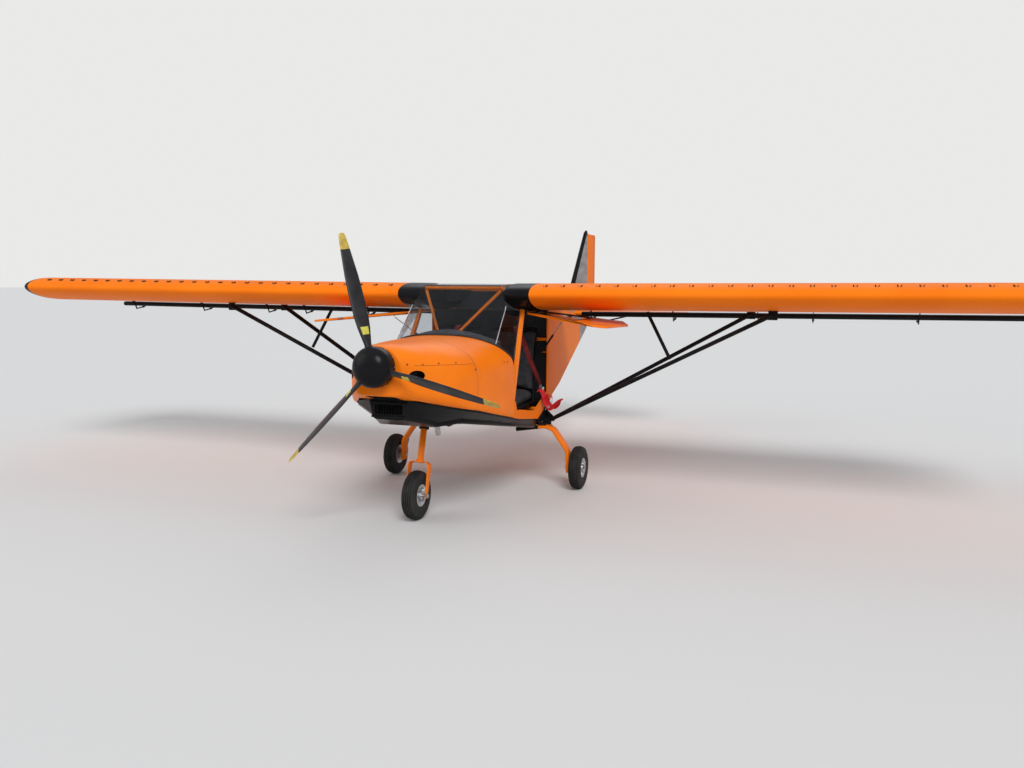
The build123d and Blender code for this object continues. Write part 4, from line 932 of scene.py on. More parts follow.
def fin_ring(share, top_round=0.0):
    """Return the fin's level section at a share of its height."""
    front = FIN_LOW[0] + (FIN_HIGH[0] - FIN_LOW[0]) * share + top_round * 30
    z = FIN_LOW[1] + (FIN_HIGH[1] - FIN_LOW[1]) * share
    half = (30.0 - 10.0 * share) * (1 - top_round * 0.75)
    rear = FIN_POST - top_round * 6
    points = []
    for i in range(13):
        angle = -math.pi / 2 + math.pi * i / 12
        nose = min(half * 1.6, (rear - front) * 0.4)
        points.append((half * math.sin(angle), front + nose - nose * math.cos(angle)))
    points += [(half * 0.6, rear), (-half * 0.6, rear)]
    return [at(x, y, z) for x, y in points]


fin_shape = bmesh.new()
fin_steps = [i / 14 for i in range(14)] + [0.965]
rings = [fin_ring(share) for share in fin_steps]
rings += [fin_ring(0.985, 0.3), fin_ring(1.0, 1.0)]
loft_rings(fin_shape, rings)
for face in fin_shape.faces:
    middle = face.calc_center_median()
    y = (middle.y - STATION_SHIFT) * 1000
    z = middle.z * 1000
    lead = FIN_LOW[0] + (FIN_HIGH[0] - FIN_LOW[0]) * (z - FIN_LOW[1]) / (FIN_HIGH[1] - FIN_LOW[1])
    if y < lead + 75 or z > 2175:
        face.material_index = 1
add_piece(fin_shape, "fin_skin", "airframe", [tail_grey, gloss_black], ["fin"], 40.0)

rudder_shape = bmesh.new()
rings = []
for z, trim in (
    (1375.0, 9.0), (1381.0, 2.0), (1388.0, 0.0), (1800.0, 0.0), (2214.0, 0.0), (2224.0, 4.0), (2230.0, 14.0)
):
    front = 3802.0 + trim
    rear = 4192.0 - trim
    half = 15.0 - trim * 0.5
    nose_turns = [math.pi / 2 * i / 5 for i in range(6)]
    outline = [(half * math.sin(a), front + 14 - 14 * math.cos(a)) for a in nose_turns]
    outline += [(half, front + 70), (2.6, rear - 2), (1.2, rear)]
    closed = outline + [(-x, y) for x, y in reversed(outline) if x > 0.01]
    rings.append([at(x, y, z) for x, y in closed])
loft_rings(rudder_shape, rings)
round_bar(rudder_shape, at(0.0, 3818.0, 1350.0), at(0.0, 3818.0, 2242.0), 0.009, 20)
add_piece(rudder_shape, "rudder_skin", "rudder", skin_orange, ["rudder"], 40.0)
for name, level in (("low", 1440.0), ("mid", 1800.0), ("high", 2140.0)):
    hinge = bmesh.new()
    block(hinge, at(0.0, 3797.0, level), (0.012, 0.03, 0.034), 0.002)
    add_piece(hinge, f"rudder_hinge_{name}", "airframe", plain_steel)

stab_low, stab_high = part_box("stabiliser")
STAB_TIP = stab_high[0] * 1000
STAB_Z = (stab_low[2] + stab_high[2]) / 2 * 1000
STAB_SECTION = (  # y, half height
    (3150.0, 0.6), (3152.0, 8.0), (3158.0, 15.0), (3170.0, 22.0), (3190.0, 26.5), (3230.0, 27.4),
    (3400.0, 24.5), (3579.0, 20.0),
)
ELEVATOR_SECTION = (
    (3592.0, 13.0), (3596.0, 15.6), (3640.0, 15.0), (3780.0, 8.6), (3920.0, 2.8), (3922.0, 1.0)
)


def flat_ring(x, section, shrink=1.0, pull=0.0):
    """Return a level surface's section at a station across the tail."""
    middle = (section[0][0] + section[-1][0]) / 2
    upper = [(middle + (y - middle) * (1 - pull), half * shrink) for y, half in section]
    lower = [(y, -half) for y, half in reversed(upper)]
    return [at(x, y, STAB_Z + z) for y, z in upper + lower]


def add_level_surface(shape, section, inner, outer, side):
    """Loft one half of the tailplane or elevator with a rounded tip."""
    tip = ((outer - 18, 1.0, 0.0), (outer - 8, 0.86, 0.01), (outer - 2, 0.55, 0.03), (outer, 0.2, 0.05))
    rings = [flat_ring(side * inner, section), flat_ring(side * (inner + outer) / 2, section)]
    rings += [flat_ring(side * x, section, shrink, pull) for x, shrink, pull in tip]
    loft_rings(shape, rings)


stab_shape = bmesh.new()
elevator_shape = bmesh.new()
for side in (LEFT, RIGHT):
    add_level_surface(stab_shape, STAB_SECTION, 30.3, STAB_TIP, side)
    add_level_surface(elevator_shape, ELEVATOR_SECTION, 75.0, STAB_TIP, side)
round_bar(elevator_shape, at(-80.0, 3606.0, STAB_Z), at(80.0, 3606.0, STAB_Z), 0.01, 20)
add_piece(stab_shape, "tailplane_skin", "airframe", skin_orange, ["stabiliser"], 35.0)
add_piece(elevator_shape, "elevator_skin", "elevator", skin_orange, ["elevator"], 35.0)
tail_hinges = bmesh.new()
for side in (LEFT, RIGHT):
    for x in (180.0, 560.0, 940.0):
        block(tail_hinges, at(side * x, 3586.0, STAB_Z), (0.03, 0.022, 0.014), 0.002)
add_piece(tail_hinges, "tail_hinges", "airframe", plain_steel)
tail_braces = bmesh.new()
for side in (LEFT, RIGHT):
    round_bar(tail_braces, at(side * 36.0, 3420.0, 1165.0), at(side * 620.0, 3400.0, STAB_Z - 24), 0.008, 14)
add_piece(tail_braces, "tailplane_braces", "airframe", satin_black)

# Windscreen, quarter panes and clear roof
SCREEN_ROWS = (  # corner x, corner y, corner z, middle y, middle z
    (402.0, -331.0, 1211.0, -389.0, 1277.0),
    (394.0, -196.0, 1350.0, -270.0, 1384.0),
    (385.0, -62.0, 1487.0, -150.0, 1487.0),
    (354.0, -18.0, 1563.0, -66.0, 1563.0),
    (322.0, 26.0, 1640.0, 20.0, 1640.0),
)


def screen_run(corner_x, corner_y, corner_z, middle_y, middle_z):
    """Return the windscreen's bowed line from its left bend to its right bend."""
    points = []
    for i in range(21):
        across = 1 - 2 * i / 20
        bow = 1 - across**2
        y = corner_y + (middle_y - corner_y) * bow
        z = corner_z + (middle_z - corner_z) * bow
        points.append(at(corner_x * across, y, z))
    return points


def smooth_screen(share):
    """Return the windscreen's row at a share of its height."""
    table = [(i / 4,) + row for i, row in enumerate(SCREEN_ROWS)]
    return smooth_rows(table, share)


screen = bmesh.new()
join_strips(screen, [screen_run(*smooth_screen(i / 16)) for i in range(17)])
screen_sheet = add_piece(
    screen, "screen_sheet", "airframe", tinted_sheet, ["windscreen"], 60.0
)
thicken(screen_sheet, 0.003)

quarter = bmesh.new()
for side in (LEFT, RIGHT):
    rear_low = Vector((508.0, -227.0, 1098.0))
    rear_high = Vector((431.0, 160.0, 1436.0))
    front_low = Vector((404.0, -326.0, 1208.0))
    front_high = Vector((387.0, -57.0, 1484.0))
    runs = []
    for i in range(7):
        share = i / 6
        bulge = Vector((6.0 * (1 - (2 * share - 1) ** 2), 0.0, 0.0))
        low = front_low.lerp(rear_low, share) + bulge
        high = front_high.lerp(rear_high, share) + bulge
        column = [low.lerp(high, j / 6) for j in range(7)]
        runs.append([at(side * point.x, point.y, point.z) for point in column])
    join_strips(quarter, runs)
quarter_sheets = add_piece(
    quarter, "quarter_sheets", "airframe", tinted_sheet, ["quarter_windows"], 60.0
)
thicken(quarter_sheets, 0.003)

roof = bmesh.new()
roof_line = ((32.0, 1643.0), (351.0, 1652.0), (700.0, 1623.0), (998.0, 1596.0))
join_strips(roof, [[at(x, y, z) for x in (-322.0, -160.0, 0.0, 160.0, 322.0)] for y, z in roof_line])
roof_sheet = add_piece(roof, "roof_sheet", "airframe", tinted_sheet, ["roof_glass"], 60.0)
thicken(roof_sheet, 0.003)

# Black sealing strip along the windscreen's foot, and a pale bar along the bend between the panes as a
# painted highlight
SEAL_LIFT = Vector((0.0, 0.004, 0.006))
seal = bmesh.new()
seal_points = []
(screen_y, screen_z), (foot_y, foot_z) = SCREEN_LINE
for i in range(41):
    across = math.cos(math.pi * i / 40)
    y = -300.0
    for _ in range(4):
        half, low, shoulder, top, power = smooth_rows(NOSE_ROWS, y)
        up = (1 - across**2) ** 0.5
        x = half * math.copysign(abs(across) ** (2 / power), across)
        z = shoulder + (top - shoulder) * up ** (2 / power)
        y = min(screen_y + (screen_z - z) * (foot_y - screen_y) / (screen_z - foot_z), -241.0)
    if z > 1090.0:
        seal_points.append((x, y, z))
bar_chain(seal, [at(*point) + SEAL_LIFT for point in seal_points], 0.008)
add_piece(seal, "screen_seal", "airframe", dark_trim)
# The thin pale bars along each bend are a painted highlight on the glass
bend = bmesh.new()
for side in (LEFT, RIGHT):
    line = []
    for i in range(9):
        row = smooth_screen(i / 16)
        line.append(at(side * (row[0] + 3), row[1] + 2, row[2]))
    bar_chain(bend, line, 0.002)
add_piece(bend, "screen_bend_painted_highlight", "airframe", painted_highlight_bar)
screws = bmesh.new()
for x, y, z in seal_points[::4]:
    spot = at(x * 1.005, y - 18, z - 8)
    round_bar(screws, spot - Vector((0, 0, 0.003)), spot + Vector((0, -0.001, 0.0035)), 0.0042, 10)
add_piece(screws, "screen_screws", "airframe", plain_steel)

# Cabin lining in near-black painted shade: rear bulkhead with its middle rib, ceiling and walls beside the
# clear roof
lining = bmesh.new()
block(lining, at(0.0, 632.0, 1050.0), (1.012, 0.006, 0.76), 0.002)
block(lining, at(0.0, 575.0, 1030.0), (0.14, 0.012, 0.66), 0.004)
CEILING = ((-330.0, 628.0, 1428.0), (330.0, 628.0, 1428.0), (316.0, 992.0, 1586.0), (-316.0, 992.0, 1586.0))
ceiling = [at(*corner) for corner in CEILING]
loft_rings(lining, [ceiling, [point - Vector((0, 0, 0.006)) for point in ceiling]])
ROOF_WALL = ((430.0, 1500.0), (998.0, 1515.0), (998.0, 1592.0), (700.0, 1619.0), (430.0, 1640.0))  # y, z
for side in (LEFT, RIGHT):
    loft_rings(lining, [[at(side * x, y, z) for y, z in ROOF_WALL] for x in (315.0, 320.0)])
add_piece(lining, "cabin_painted_shade_lining", "airframe", painted_shade_lining)

# Instrument panel with dials
coaming = bmesh.new()
coaming_rows = []
for back, lift in (
    (0.0, 0.0), (40.0, 18.0), (90.0, 36.0), (125.0, 45.0), (140.0, 44.0), (146.0, 34.0), (146.0, -70.0)
):
    line = screen_run(*SCREEN_ROWS[0])
    rise = lift - 6.0
    row = []
    for p in line:
        z = p.z + rise * (1 - 0.6 * abs(p.x) / 0.402) / 1000
        row.append(Vector((p.x * 0.975, p.y + (10 + back) / 1000, z)))
    coaming_rows.append(row)
join_strips(coaming, coaming_rows)
coaming_piece = add_piece(
    coaming, "glare_cover", "airframe", coaming_grey, smooth_angle=60.0
)
thicken(coaming_piece, 0.003)
panel = bmesh.new()
outline = [
    (430.0, 930.0), (430.0, 1120.0), (418.0, 1165.0), (395.0, 1195.0), (370.0, 1215.0), (340.0, 1225.0)
]
outline += [(-x, z) for x, z in reversed(outline)]
loft_rings(panel, [[at(x, y, z) for x, z in outline] for y in (-329.0, -272.0)])
panel_edges = [e for e in panel.edges if len(e.link_faces) == 2 and e.calc_face_angle() > 1.2]
round_edges(panel, panel_edges, 0.004)
block(panel, at(0.0, -300.0, 1224.0), (0.70, 0.12, 0.008), 0.003)
add_piece(panel, "panel_board", "airframe", dark_trim, ["instrument_panel"])
dials = bmesh.new()
faces_of_dials = bmesh.new()
for x, z, radius in (
    (-300.0, 1120.0, 40.0), (-205.0, 1130.0, 40.0), (-110.0, 1120.0, 40.0), (-300.0, 1020.0, 40.0),
    (-205.0, 1030.0, 40.0), (-110.0, 1020.0, 40.0), (180.0, 1110.0, 28.0), (250.0, 1110.0, 28.0),
    (320.0, 1110.0, 28.0), (180.0, 1035.0, 28.0), (250.0, 1035.0, 28.0),
):
    middle = at(x, -270.0, z)
    r = radius / 1000
    spin_profile(
        dials, [(0.0, r * 0.9), (0.006, r * 0.9), (0.008, r * 0.96), (0.006, r), (0.0, r), (0.0, r * 0.9)],
        (0, 1, 0), middle, 28,
    )
    round_bar(faces_of_dials, middle - Vector((0, 0.001, 0)), middle + Vector((0, 0.002, 0)), r * 0.9, 28)
    block(dials, middle + Vector((0, 0.003, r * 0.3)), (0.002, 0.001, r * 0.8))
add_piece(dials, "dial_rims", "airframe", wheel_alloy)
add_piece(faces_of_dials, "dial_faces", "airframe", dark_trim)

# Control stick with its grip
stick = bmesh.new()
round_bar(stick, at(0.0, -30.0, 562.0), at(0.0, -50.0, 900.0), 0.011, 18)
spin_profile(
    stick,
    [(0.0, 0.0), (0.0, 0.014), (0.012, 0.0165), (0.05, 0.0145), (0.09, 0.0165), (0.113, 0.015), (0.12, 0.0)],
    at(0.0, -56.0, 1000.0) - at(0.0, -50.0, 880.0), at(0.0, -50.0, 880.0), 24,
)
add_piece(stick, "stick_and_grip", "airframe", satin_black, ["control_stick"], 40.0)

# Seats: padded cushions and backs over light frames
PAD_VOXEL = 0.006
PAD_PRESSURE = 4.0
PAD_CAP = 0.02
PAD_STEPS = 20
SEAT_X = 245.0


def rounded_pad(name, centre, size, tilt, corner):
    """Add a padded cushion or seat back with drawn-in sides and a crowned face."""
    shape = bmesh.new()
    turn = Matrix.Rotation(tilt, 4, "X")
    bmesh.ops.create_cube(shape, size=1.0, matrix=Matrix.Diagonal((*size, 1.0)))
    round_edges(shape, shape.edges[:], corner, 3)
    long_edges = [edge for edge in shape.edges if edge.calc_length() > 0.05]
    bmesh.ops.subdivide_edges(shape, edges=long_edges, cuts=9, use_grid_fill=True)
    place = Matrix.Translation(centre) @ turn
    bmesh.ops.transform(shape, matrix=place, verts=shape.verts)
    piece = add_piece(shape, name, "airframe", seat_cloth, smooth_angle=80.0)
    swell(piece, PAD_PRESSURE, PAD_CAP)
    smooth = piece.modifiers.new("soft", "SUBSURF")
    smooth.levels = 1
    smooth.render_levels = 1


def swell(piece, pressure, cap):
    """Blow a pad up with the cloth simulation and keep how far each point moved below a cap."""
    remesh = piece.modifiers.new("even", "REMESH")
    remesh.mode = "VOXEL"
    remesh.voxel_size = PAD_VOXEL
    start = evaluated_mesh(piece)
    piece.modifiers.clear()
    old = piece.data
    piece.data = start
    bpy.data.meshes.remove(old)
    cloth = piece.modifiers.new("cloth", "CLOTH")
    cloth.settings.use_pressure = True
    cloth.settings.uniform_pressure_force = pressure
    cloth.settings.effector_weights.gravity = 0.0
    cloth.settings.quality = 5
    scene = bpy.context.scene
    for step in range(1, PAD_STEPS + 1):
        scene.frame_set(step)
    moved = evaluated_mesh(piece)
    piece.modifiers.clear()
    for before, after in zip(start.vertices, moved.vertices):
        shift = after.co - before.co
        if shift.length > cap:
            shift = shift.normalized() * cap
        before.co = before.co + shift
    bpy.data.meshes.remove(moved)
    scene.frame_set(1)
    for polygon in start.polygons:
        polygon.use_smooth = True


for side, word in SIDES:
    x = side * SEAT_X
    rounded_pad(f"seat_cushion_{word}", at(x, 262.0, 742.0), (0.39, 0.41, 0.062), 0.06, 0.026)
    rounded_pad(f"seat_back_{word}", at(x, 508.0, 1030.0), (0.39, 0.05, 0.49), -0.16, 0.022)
seat_frames = bmesh.new()
for side in (LEFT, RIGHT):
    x = side * SEAT_X
    block(seat_frames, at(x, 262.0, 688.0), (0.40, 0.44, 0.024), 0.008)
    for hand in (-1, 1):
        round_bar(
            seat_frames, at(x + hand * 190.0, 470.0, 690.0), at(x + hand * 175.0, 590.0, 1290.0), 0.011, 14
        )
    round_bar(seat_frames, at(x - 178.0, 589.0, 1288.0), at(x + 178.0, 589.0, 1288.0), 0.011, 14)
add_piece(seat_frames, "seat_frames", "airframe", satin_black, ["seats"])

# Main undercarriage: bent leaves with their axles, bolts and brakes


def rounded_path(corners, radii, steps=6):
    """Return the points of a path whose inner corners are rounded with arcs."""
    points = [Vector(corners[0])]
    for before, corner, after, radius in zip(corners, corners[1:], corners[2:], radii):
        corner = Vector(corner)
        to_start = (Vector(before) - corner).normalized()
        to_end = (Vector(after) - corner).normalized()
        half_angle = to_start.angle(to_end) / 2
        reach = radius / math.tan(half_angle)
        middle = corner + (to_start + to_end).normalized() * (radius / math.sin(half_angle))
        start = corner + to_start * reach - middle
        end = corner + to_end * reach - middle
        for i in range(steps + 1):
            points.append(middle + start.normalized().slerp(end.normalized(), i / steps) * radius)
    points.append(Vector(corners[-1]))
    return points


def bar_section(centre, normal, across, thick, wide, corner):
    """Return a flat bar's closed section with rounded corners."""
    points = []
    for turn, (a, b) in enumerate(((1, 1), (-1, 1), (-1, -1), (1, -1))):
        for i in range(4):
            angle = math.pi / 2 * (turn + i / 3)
            out_a = a * (thick / 2 - corner) + corner * math.cos(angle)
            out_b = b * (wide / 2 - corner) + corner * math.sin(angle)
            points.append(centre + normal * out_a + across * out_b)
    return points


def flat_bar(shape, path, across, thick, widths, corner):
    """Sweep a flat bar along a path; its width runs between the two given ends."""
    rings = []
    for i, point in enumerate(path):
        ahead = path[min(i + 1, len(path) - 1)]
        behind = path[max(i - 1, 0)]
        normal = (ahead - behind).normalized().cross(across).normalized()
        share = i / (len(path) - 1)
        wide = widths[0] + (widths[1] - widths[0]) * share
        rings.append(bar_section(point, normal, across, thick, wide, corner))
    loft_rings(shape, rings)


LEAF_PATH = ((300.0, 462.0), (545.0, 500.0), (612.0, 478.0), (736.0, 306.0), (742.0, 132.0))
LEAF_RADII = (0.06, 0.042, 0.07)
for side, word in SIDES:
    leaf = bmesh.new()
    path = rounded_path([at(side * x, MAIN_Y, z) for x, z in LEAF_PATH], LEAF_RADII)
    cut = path[0].lerp(path[1], 0.82)
    path = [path[0], cut] + path[1:]
    flat_bar(leaf, path, Vector((0, 1, 0)), 0.030, (0.09, 0.084), 0.009)
    for face in leaf.faces:
        if abs(face.calc_center_median().x) < abs(cut.x):
            face.material_index = 1
    axle = at(side * 742.0, MAIN_Y, AXLE_Z)
    add_piece(
        leaf, f"gear_leaf_{word}", "airframe", [gloss_orange, satin_black], [f"gear_leg_{word}"],
        40.0
    )
    fittings = bmesh.new()
    round_bar(fittings, axle, at(side * (MAIN_X + 50), MAIN_Y, AXLE_Z), 0.0124, 24)
    round_bar(
        fittings, at(side * (MAIN_X + 46), MAIN_Y, AXLE_Z), at(side * (MAIN_X + 54), MAIN_Y, AXLE_Z), 0.019, 6
    )
    round_bar(fittings, at(side * 716.0, MAIN_Y, AXLE_Z), at(side * 722.0, MAIN_Y, AXLE_Z), 0.019, 6)
    for y in (MAIN_Y - 26, MAIN_Y + 26):
        for x in (478.0, 520.0):
            spot = at(side * x, y, 512.0)
            round_bar(fittings, spot - Vector((0, 0, 0.03)), spot + Vector((0, 0, 0.004)), 0.0065, 6)
    add_piece(fittings, f"gear_fittings_{word}", "airframe", plain_steel)
    brake = bmesh.new()
    block(brake, at(side * 769.5, MAIN_Y + 49, AXLE_Z + 14), (0.017, 0.038, 0.052), 0.004)
    block(brake, at(side * 763.0, MAIN_Y + 20, AXLE_Z + 8), (0.006, 0.07, 0.03), 0.001)
    block(brake, at(side * 500.0, MAIN_Y, 521.0), (0.12, 0.11, 0.012), 0.003)
    hose = [
        (759.0, MAIN_Y + 45, AXLE_Z + 30), (733.0, MAIN_Y + 49, 250.0), (718.0, MAIN_Y + 49, 320.0),
        (600.0, MAIN_Y + 49, 488.0), (556.0, MAIN_Y + 49, 520.0),
    ]
    hose_points = rounded_path([at(side * x, y, z) for x, y, z in hose], (0.02, 0.04, 0.03))
    for first, second in zip(hose_points, hose_points[1:]):
        if (second - first).length > 0.0005:
            round_bar(brake, first, second, 0.0032, 8)
    add_piece(brake, f"brake_bits_{word}", "airframe", satin_black)

# Black brackets and bolts where the struts meet the undercarriage's frame
for side, word in SIDES:
    foot = bmesh.new()
    round_bar(foot, at(side * 505.0, 547.0, 575.0), at(side * 590.0, 547.0, 548.0), 0.017, 16)
    block(foot, at(side * 519.0, 560.0, 602.0), (0.012, 0.11, 0.1), 0.003)
    block(foot, at(side * 545.0, 510.0, 536.0), (0.07, 0.03, 0.05), 0.004)
    block(foot, at(side * 515.0, 452.0, 590.0), (0.005, 0.16, 0.1), 0.002)
    add_piece(foot, f"foot_bracket_{word}", "airframe", satin_black)
    foot_bolts = bmesh.new()
    for y, z in ((520.0, 630.0), (600.0, 630.0), (560.0, 570.0)):
        round_bar(foot_bolts, at(side * 524.0, y, z), at(side * 530.0, y, z), 0.007, 6)
    round_bar(foot_bolts, at(side * 577.0, 515.0, 550.0), at(side * 577.0, 580.0, 550.0), 0.006, 12)
    add_piece(foot_bolts, f"foot_bolts_{word}", "airframe", plain_steel)

# Steered nose fork: leg, collar, arched crown with tapering arms, axle
CROWN = (-764.0, 399.0)
LEG_TOP = (-690.0, 640.0)
ARM_X = 76.0
axle_place = at(0.0, NOSE_Y, AXLE_Z)
crown_place = at(0.0, *CROWN)
arm_run = (crown_place - axle_place).normalized()
fork = bmesh.new()
corners = [
    axle_place + Vector((-ARM_X / 1000, 0, 0)) - arm_run * 0.018,
    crown_place + Vector((-ARM_X / 1000, 0, 0)) + arm_run * 0.002,
    crown_place + Vector((ARM_X / 1000, 0, 0)) + arm_run * 0.002,
    axle_place + Vector((ARM_X / 1000, 0, 0)) - arm_run * 0.018,
]
arch = rounded_path(corners, (0.03, 0.03), 7)
arch = [arch[0].lerp(arch[1], i / 8) for i in range(8)] + arch[1:-1]
arch += [arch[-1].lerp(corners[-1], i / 8) for i in range(1, 9)]
fore = Vector((1, 0, 0)).cross(arm_run).normalized()
rings = []
for i, point in enumerate(arch):
    run = (arch[min(i + 1, len(arch) - 1)] - arch[max(i - 1, 0)]).normalized()
    height = (point - axle_place).dot(arm_run) / (crown_place - axle_place).length
    wide = 0.036 + 0.028 * min(max(height, 0.0), 1.0)
    if height < 0.0:
        wide *= 0.72
    rings.append(bar_section(point, run.cross(fore).normalized(), fore, 0.0085, wide, 0.0028))
loft_rings(fork, rings)
leg_run = at(0.0, *LEG_TOP) - crown_place
leg_axis = leg_run.normalized()
leg_profile = [
    (-0.004, 0.0), (-0.004, 0.029), (0.0, 0.031), (0.012, 0.031), (0.016, 0.029), (0.017, 0.0228),
    (0.262, 0.0228), (0.266, 0.02), (0.266, 0.0),
]
spin_profile(fork, leg_profile, leg_axis, crown_place, 32)
add_piece(fork, "fork_and_leg", "nose_leg", gloss_orange, ["nose_fork"], 40.0)
nose_axle = bmesh.new()
for hand in (-1, 1):
    round_bar(nose_axle, axle_place, axle_place + Vector((hand * 0.087, 0, 0)), 0.0122, 20)
    round_bar(
        nose_axle, axle_place + Vector((hand * 0.0808, 0, 0)), axle_place + Vector((hand * 0.089, 0, 0)),
        0.018, 6
    )
add_piece(nose_axle, "nose_axle", "nose_leg", plain_steel)
guide = bmesh.new()
guide_profile = [(0.236, 0.0234), (0.236, 0.034), (0.24, 0.036), (0.262, 0.036), (0.262, 0.0234)]
spin_profile(guide, guide_profile, leg_axis, crown_place, 32)
add_piece(guide, "guide_collar", "airframe", satin_black)

# Doors with their panes, seals, tubes and latches, made upright and raised about their hinges
DOOR_HINGE = (474.0, 1435.0)
DOOR_TURN = math.radians(84.0)
DOOR_THICK = 16.0
DOOR_OUTLINE = (
    (185.0, 1431.0), (-225.0, 800.0), (-186.0, 707.0), (262.0, 648.0), (584.0, 758.0), (584.0, 1431.0)
)
DOOR_WINDOW = ((205.0, 1397.0), (-62.0, 990.0), (548.0, 990.0), (548.0, 1397.0))
DOOR_RECESS = (
    (-150.0, 940.0), (-170.0, 800.0), (-140.0, 730.0), (250.0, 690.0), (555.0, 790.0), (555.0, 940.0)
)


def soften(piece, width):
    """Round a piece's sharp edges with a modifier."""
    edge = piece.modifiers.new("edges", "BEVEL")
    edge.width = width
    edge.segments = 2
    edge.limit_method = "ANGLE"
    edge.angle_limit = math.radians(40.0)


def prism(shape, outline, low_x, high_x):
    """Add a closed prism of a (y, z) outline between two x places, in millimetres."""
    loft_rings(shape, [[at(x, y, z) for y, z in outline] for x in (low_x, high_x)])


def raise_door(piece, side):
    """Turn an upright left door piece up about its hinge and mirror it for the right side."""
    pivot = at(DOOR_HINGE[0], 0.0, DOOR_HINGE[1])
    turn = Matrix.Translation(pivot) @ Matrix.Rotation(-DOOR_TURN, 4, "Y") @ Matrix.Translation(-pivot)
    if side == RIGHT:
        turn = Matrix.Diagonal((-1.0, 1.0, 1.0, 1.0)) @ turn
    piece.data.transform(turn)
    if side == RIGHT:
        piece.data.flip_normals()


outer_x = DOOR_HINGE[0] - 1
for side, word in SIDES:
    door = bmesh.new()
    prism(door, DOOR_OUTLINE, outer_x - DOOR_THICK, outer_x)
    frame_piece = add_piece(
        door, f"door_shell_{word}", f"door_{word}", gloss_orange, [f"door_frame_{word}"], 30.0
    )
    opening = bmesh.new()
    prism(opening, DOOR_WINDOW, outer_x - DOOR_THICK - 5, outer_x + 5)
    cut_away(frame_piece, opening)
    recess = bmesh.new()
    prism(recess, DOOR_RECESS, outer_x - DOOR_THICK - 5, outer_x - 3)
    cut_away(frame_piece, recess)
    raise_door(frame_piece, side)
    soften(frame_piece, 0.003)
    pane = bmesh.new()
    prism(pane, [(y * 0.995 + 1.5, z * 0.995 + 6) for y, z in DOOR_WINDOW], outer_x - 6, outer_x - 3)
    pane_piece = add_piece(
        pane, f"door_pane_{word}", f"door_{word}", tinted_sheet, [f"door_glass_{word}"]
    )
    raise_door(pane_piece, side)
    trim = bmesh.new()
    bar_chain(trim, [at(outer_x + 0.5, y, z) for y, z in DOOR_WINDOW + DOOR_WINDOW[:1]], 0.0035)
    trim_piece = add_piece(trim, f"door_seal_{word}", f"door_{word}", dark_trim)
    raise_door(trim_piece, side)
    tubes = bmesh.new()
    inner_x = outer_x - DOOR_THICK
    round_bar(tubes, at(inner_x + 3, 128.0, 1173.0), at(inner_x + 3, 558.0, 1173.0), 0.0085, 14)
    round_bar(tubes, at(inner_x - 1, 300.0, 1173.0), at(inner_x - 12, 300.0, 1173.0), 0.004, 10)
    round_bar(
        tubes, at(DOOR_HINGE[0], 205.0, DOOR_HINGE[1]), at(DOOR_HINGE[0], 425.0, DOOR_HINGE[1]), 0.005, 14
    )
    tubes_piece = add_piece(tubes, f"door_tubes_{word}", f"door_{word}", gloss_orange)
    raise_door(tubes_piece, side)
    latch = bmesh.new()
    block(latch, at(outer_x - 8, 180.0, 870.0), (0.008, 0.10, 0.034), 0.003)
    block(latch, at(outer_x - 15, 200.0, 870.0), (0.010, 0.06, 0.014), 0.003)
    for y in (230.0, 400.0):
        block(latch, at(outer_x + 1.5, y, 1421.0), (0.003, 0.04, 0.026), 0.001)
    latch_piece = add_piece(latch, f"door_latch_{word}", f"door_{word}", satin_black)
    raise_door(latch_piece, side)

# Seat belts: shoulder straps in a darker red that paints their shade, buckles and the red lap belt that hangs
# over the left sill
STRAP_STEPS = 5


def ribbon(shape, points, edge_ways, half_wide, thick):
    """Sweep a flat strap through points; edge_ways gives the strap's width direction at each point."""
    rings = []
    for i, point in enumerate(points):
        run = (points[min(i + 1, len(points) - 1)] - points[max(i - 1, 0)]).normalized()
        wide = edge_ways[i] - run * edge_ways[i].dot(run)
        wide.normalize()
        face = run.cross(wide)
        corners = []
        for a, b in ((-1, -1), (1, -1), (1, 1), (-1, 1)):
            corners.append(point + wide * half_wide * a + face * thick / 2 * b)
        rings.append(corners)
    loft_rings(shape, rings)


def smooth_points(points):
    """Return a smooth run of points through the given ones."""
    run = []
    for i in range(len(points) - 1):
        before = points[max(i - 1, 0)]
        start, end = points[i], points[i + 1]
        after = points[min(i + 2, len(points) - 1)]
        for j in range(STRAP_STEPS):
            t = j / STRAP_STEPS
            run.append(
                (start * 2 + (end - before) * t + (before * 2 - start * 5 + end * 4 - after) * t**2
                 + (start * 3 - before - end * 3 + after) * t**3) / 2
            )
    run.append(points[-1])
    return run


def strap(shape, table, half_wide, thick=0.0022):
    """Add a strap from rows of (x, y, z, width direction)."""
    points = smooth_points([at(*row[:3]) for row in table])
    ways = smooth_points([Vector(row[3]) for row in table])
    ribbon(shape, points, ways, half_wide, thick)


